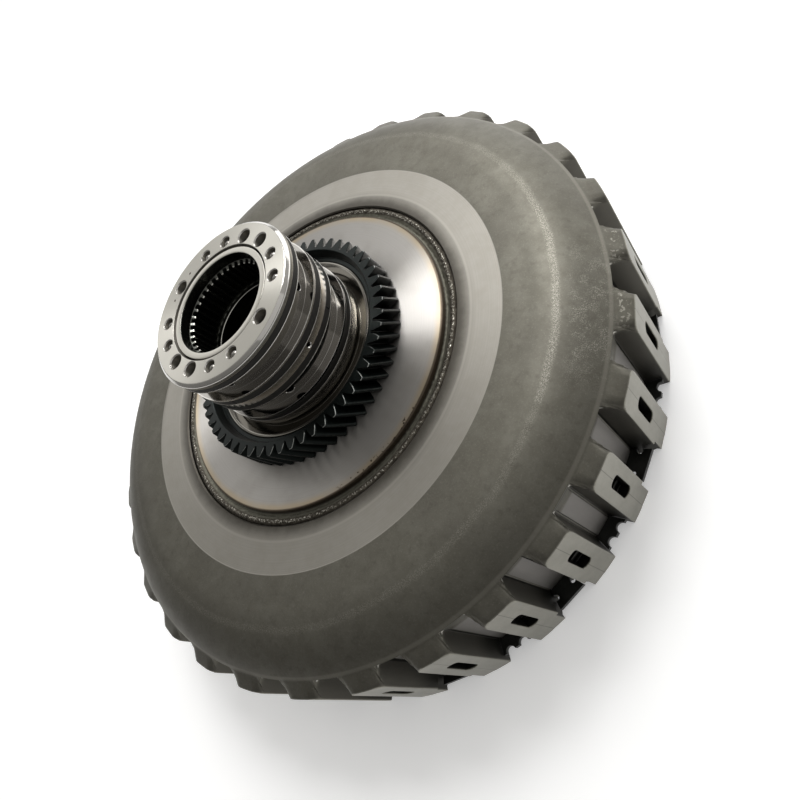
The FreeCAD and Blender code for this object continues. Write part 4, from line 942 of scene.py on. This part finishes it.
def make_sleeve():
    """A long tube with a plain mouth and a short run of inner splines below it."""

    def plain(radius, height):
        return toothed(SLEEVE_TEETH, 0.0, height, [(radius, k / 8 - 0.4375) for k in range(8)])

    def splined(minor, major, height):
        return toothed(SLEEVE_TEETH, 0.0, height, spline_tooth(minor, major))

    top = 103.8
    loops = [plain(17.6, 18.7), plain(17.9, 18.4), plain(21.7, 18.4), plain(22.0, 18.7),
             plain(22.0, top - 0.5), plain(21.9, top - 0.15), plain(21.5, top),
             plain(20.0, top), plain(19.6, top - 0.2), plain(19.4, top - 0.6),
             plain(19.4, 99.6), plain(19.3, 99.5),
             splined(19.2, 19.28, 99.4), splined(18.2, 19.25, 98.9), splined(18.0, 19.25, 98.6),
             splined(18.0, 19.25, 87.7), splined(18.6, 19.28, 87.2),
             plain(19.7, 87.0), plain(19.7, 86.1), plain(19.6, 86.0), plain(17.85, 86.0),
             plain(17.6, 85.75)]
    piece("output_sleeve_piece", mesh_of("output_sleeve_piece", *stack(loops)), sleeve_steel(),
          "k2_output", "ground_steel", "output_sleeve")


# ---------- Return springs
def coil_spring(low, high, circle_radius, coil_radius, wire, azimuth):
    """A coil spring parallel to the axis, with its end coils closed flat."""
    turns, flat = 3.5, 0.7
    turn = np.linspace(0, turns, 100)
    climb = np.clip((turn - flat) / (turns - 2 * flat), 0, 1)
    height = low + wire + (high - low - 2 * wire) * climb
    away = np.stack([np.cos(2 * np.pi * turn), np.sin(2 * np.pi * turn), 0 * turn], 1)
    angle = math.radians(azimuth)
    middle = coil_radius * away
    middle += np.stack([0 * turn + circle_radius * math.cos(angle),
                        0 * turn + circle_radius * math.sin(angle), height], 1)
    up = np.array((0, 0, 1))
    sides = [2 * math.pi * k / 8 for k in range(8)]
    return stack([middle + wire * (math.cos(t) * away + math.sin(t) * up) for t in sides],
                 closed_round=False)


def shortens(item):
    """Gives the spring a mesh of its own."""
    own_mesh(item)


def make_return_coils():
    """The ring of coil springs that pushes the inner pack's piston back."""
    wire, coil_radius, count = 0.55, 3.2, 12
    bottom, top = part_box("k2_return_springs")
    low, high = bottom.z / MM, top.z / MM
    circle_radius = top.x / MM - coil_radius - wire
    coils = [coil_spring(low, high, circle_radius, coil_radius, wire, 360 / count * k)
             for k in range(count)]
    coils = piece("return_coils", mesh_of("return_coils", *joined(coils), 60),
                  LOOKS["spring_steel"], "housing", "spring_steel", "k2_return_springs")
    shortens(coils)


def make_return_disc():
    """The disc spring that pushes the outer pack's piston back."""
    bottom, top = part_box("k1_return_spring")
    low, high = bottom.z / MM, top.z / MM
    outer, inner = top.x / MM, 42.0
    corners = [(inner, low + 0.15, 0.05), (inner + 1, low, 0.3), (outer, high - 1.05, 0.1),
               (outer, high - 0.15, 0.05), (outer - 1, high, 0.3), (inner, low + 1.05, 0.1)]
    disc = piece("return_disc", lathe("return_disc", corners, 180), LOOKS["spring_steel"],
                 "housing", "spring_steel", "k1_return_spring")
    shortens(disc)


# ---------- CAD nodes that stay, with their edges eased
def dress_cad_nodes():
    slots = {row["node"]: row["material_slot"] for row in frame["record"]["subparts"]}
    for name, node in frame["nodes"].items():
        if node.hide_render:
            continue
        node.data.materials.clear()
        node.data.materials.append(LOOKS[slots[name]])
        weld = node.modifiers.new("weld", "WELD")
        weld.merge_threshold = 0.01 * MM
        flat = node.modifiers.new("flat", "DECIMATE")
        flat.decimate_type = "DISSOLVE"
        flat.angle_limit = math.radians(1.5)
        bevel = node.modifiers.new("bevel", "BEVEL")
        bevel.width = 0.15 * MM
        bevel.segments = 2
        bevel.limit_method = "ANGLE"
        bevel.angle_limit = math.radians(40)
        bevel.use_clamp_overlap = True


# ---------- Camera, light and floor
def make_camera():
    """The camera stands beside the drum, above it, and is rolled well over."""
    data = bpy.data.cameras.new("camera")
    data.sensor_width = 36.0
    data.lens = 29.36
    camera = bpy.data.objects.new("camera", data)
    bpy.context.scene.collection.objects.link(camera)
    camera.location = Vector((-198.2, 48.0, 228.8)) * MM
    target = Vector((-23.36, 0.78, 20.0)) * MM
    roll = math.radians(-57.27)
    facing = (target - camera.location).to_track_quat("-Z", "Y")
    camera.rotation_mode = "QUATERNION"
    camera.rotation_quaternion = facing @ Quaternion((0, 0, 1), roll)
    data.clip_start = 0.01
    bpy.context.scene.camera = camera


def area_light(name, size, power, place, aim):
    """A soft rectangular light that faces its aim."""
    data = bpy.data.lights.new(name, "AREA")
    data.shape = "RECTANGLE"
    data.size, data.size_y = size
    data.energy = power
    light = bpy.data.objects.new(name, data)
    bpy.context.scene.collection.objects.link(light)
    light.location = place
    light.rotation_mode = "QUATERNION"
    light.rotation_quaternion = (Vector(aim) - Vector(place)).to_track_quat("-Z", "Y")


def make_world():
    """A plain room that is brighter towards the key light."""
    world = bpy.data.worlds.new("studio")
    world.use_nodes = True
    tree = world.node_tree
    where = tree.nodes.new("ShaderNodeTexCoord").outputs["Generated"]
    toward = tree.nodes.new("ShaderNodeVectorMath")
    toward.operation = "DOT_PRODUCT"
    toward.inputs[1].default_value = Vector((0.35, -0.65, 0.67))
    fall = tree.nodes.new("ShaderNodeMapRange")
    fall.inputs["From Min"].default_value = -0.4
    fall.inputs["To Min"].default_value = 0.12
    fall.inputs["To Max"].default_value = 0.6
    background = tree.nodes["Background"]
    background.inputs["Color"].default_value = (1.0, 0.985, 0.95, 1)
    tree.links.new(where, toward.inputs[0])
    tree.links.new(toward.outputs["Value"], fall.inputs["Value"])
    tree.links.new(fall.outputs["Result"], background.inputs["Strength"])
    bpy.context.scene.world = world
    bpy.context.scene.view_settings.view_transform = "Standard"


def make_lights():
    centre = (0, 0, 0.05)
    area_light("key", (0.5, 0.45), 7.8, (0.2, -0.66, 0.95), centre)
    area_light("side", (1.4, 0.6), 2.7, (1.15, -0.45, 0.68), centre)
    area_light("back", (1.8, 0.7), 7.0, (-0.1, -1.25, 0.36), centre)
    area_light("overhead", (1.0, 1.0), 0.8, (-0.6, -0.1, 1.1), centre)


def make_floor():
    mesh = bpy.data.meshes.new("floor")
    reach = 6.0
    mesh.from_pydata([(-reach, -reach, 0), (reach, -reach, 0), (reach, reach, 0),
                      (-reach, reach, 0)], [], [(0, 1, 2, 3)])
    floor = bpy.data.objects.new("floor", mesh)
    bpy.context.scene.collection.objects.link(floor)
    pale = bpy.data.materials.new("pale_floor")
    pale.use_nodes = True
    shader = pale.node_tree.nodes["Principled BSDF"]
    shader.inputs["Base Color"].default_value = (0.9, 0.9, 0.9, 1)
    shader.inputs["Roughness"].default_value = 0.9
    shader.inputs["Emission Color"].default_value = (1, 1, 1, 1)
    shader.inputs["Emission Strength"].default_value = 0.3
    mesh.materials.append(pale)


make_drum()
make_hub()
make_flange()
make_weld()
make_seal_rings()
make_plugs()
make_gear()
make_sleeve()
make_return_coils()
make_return_disc()
dress_cad_nodes()
make_camera()
make_world()
make_lights()
make_floor()
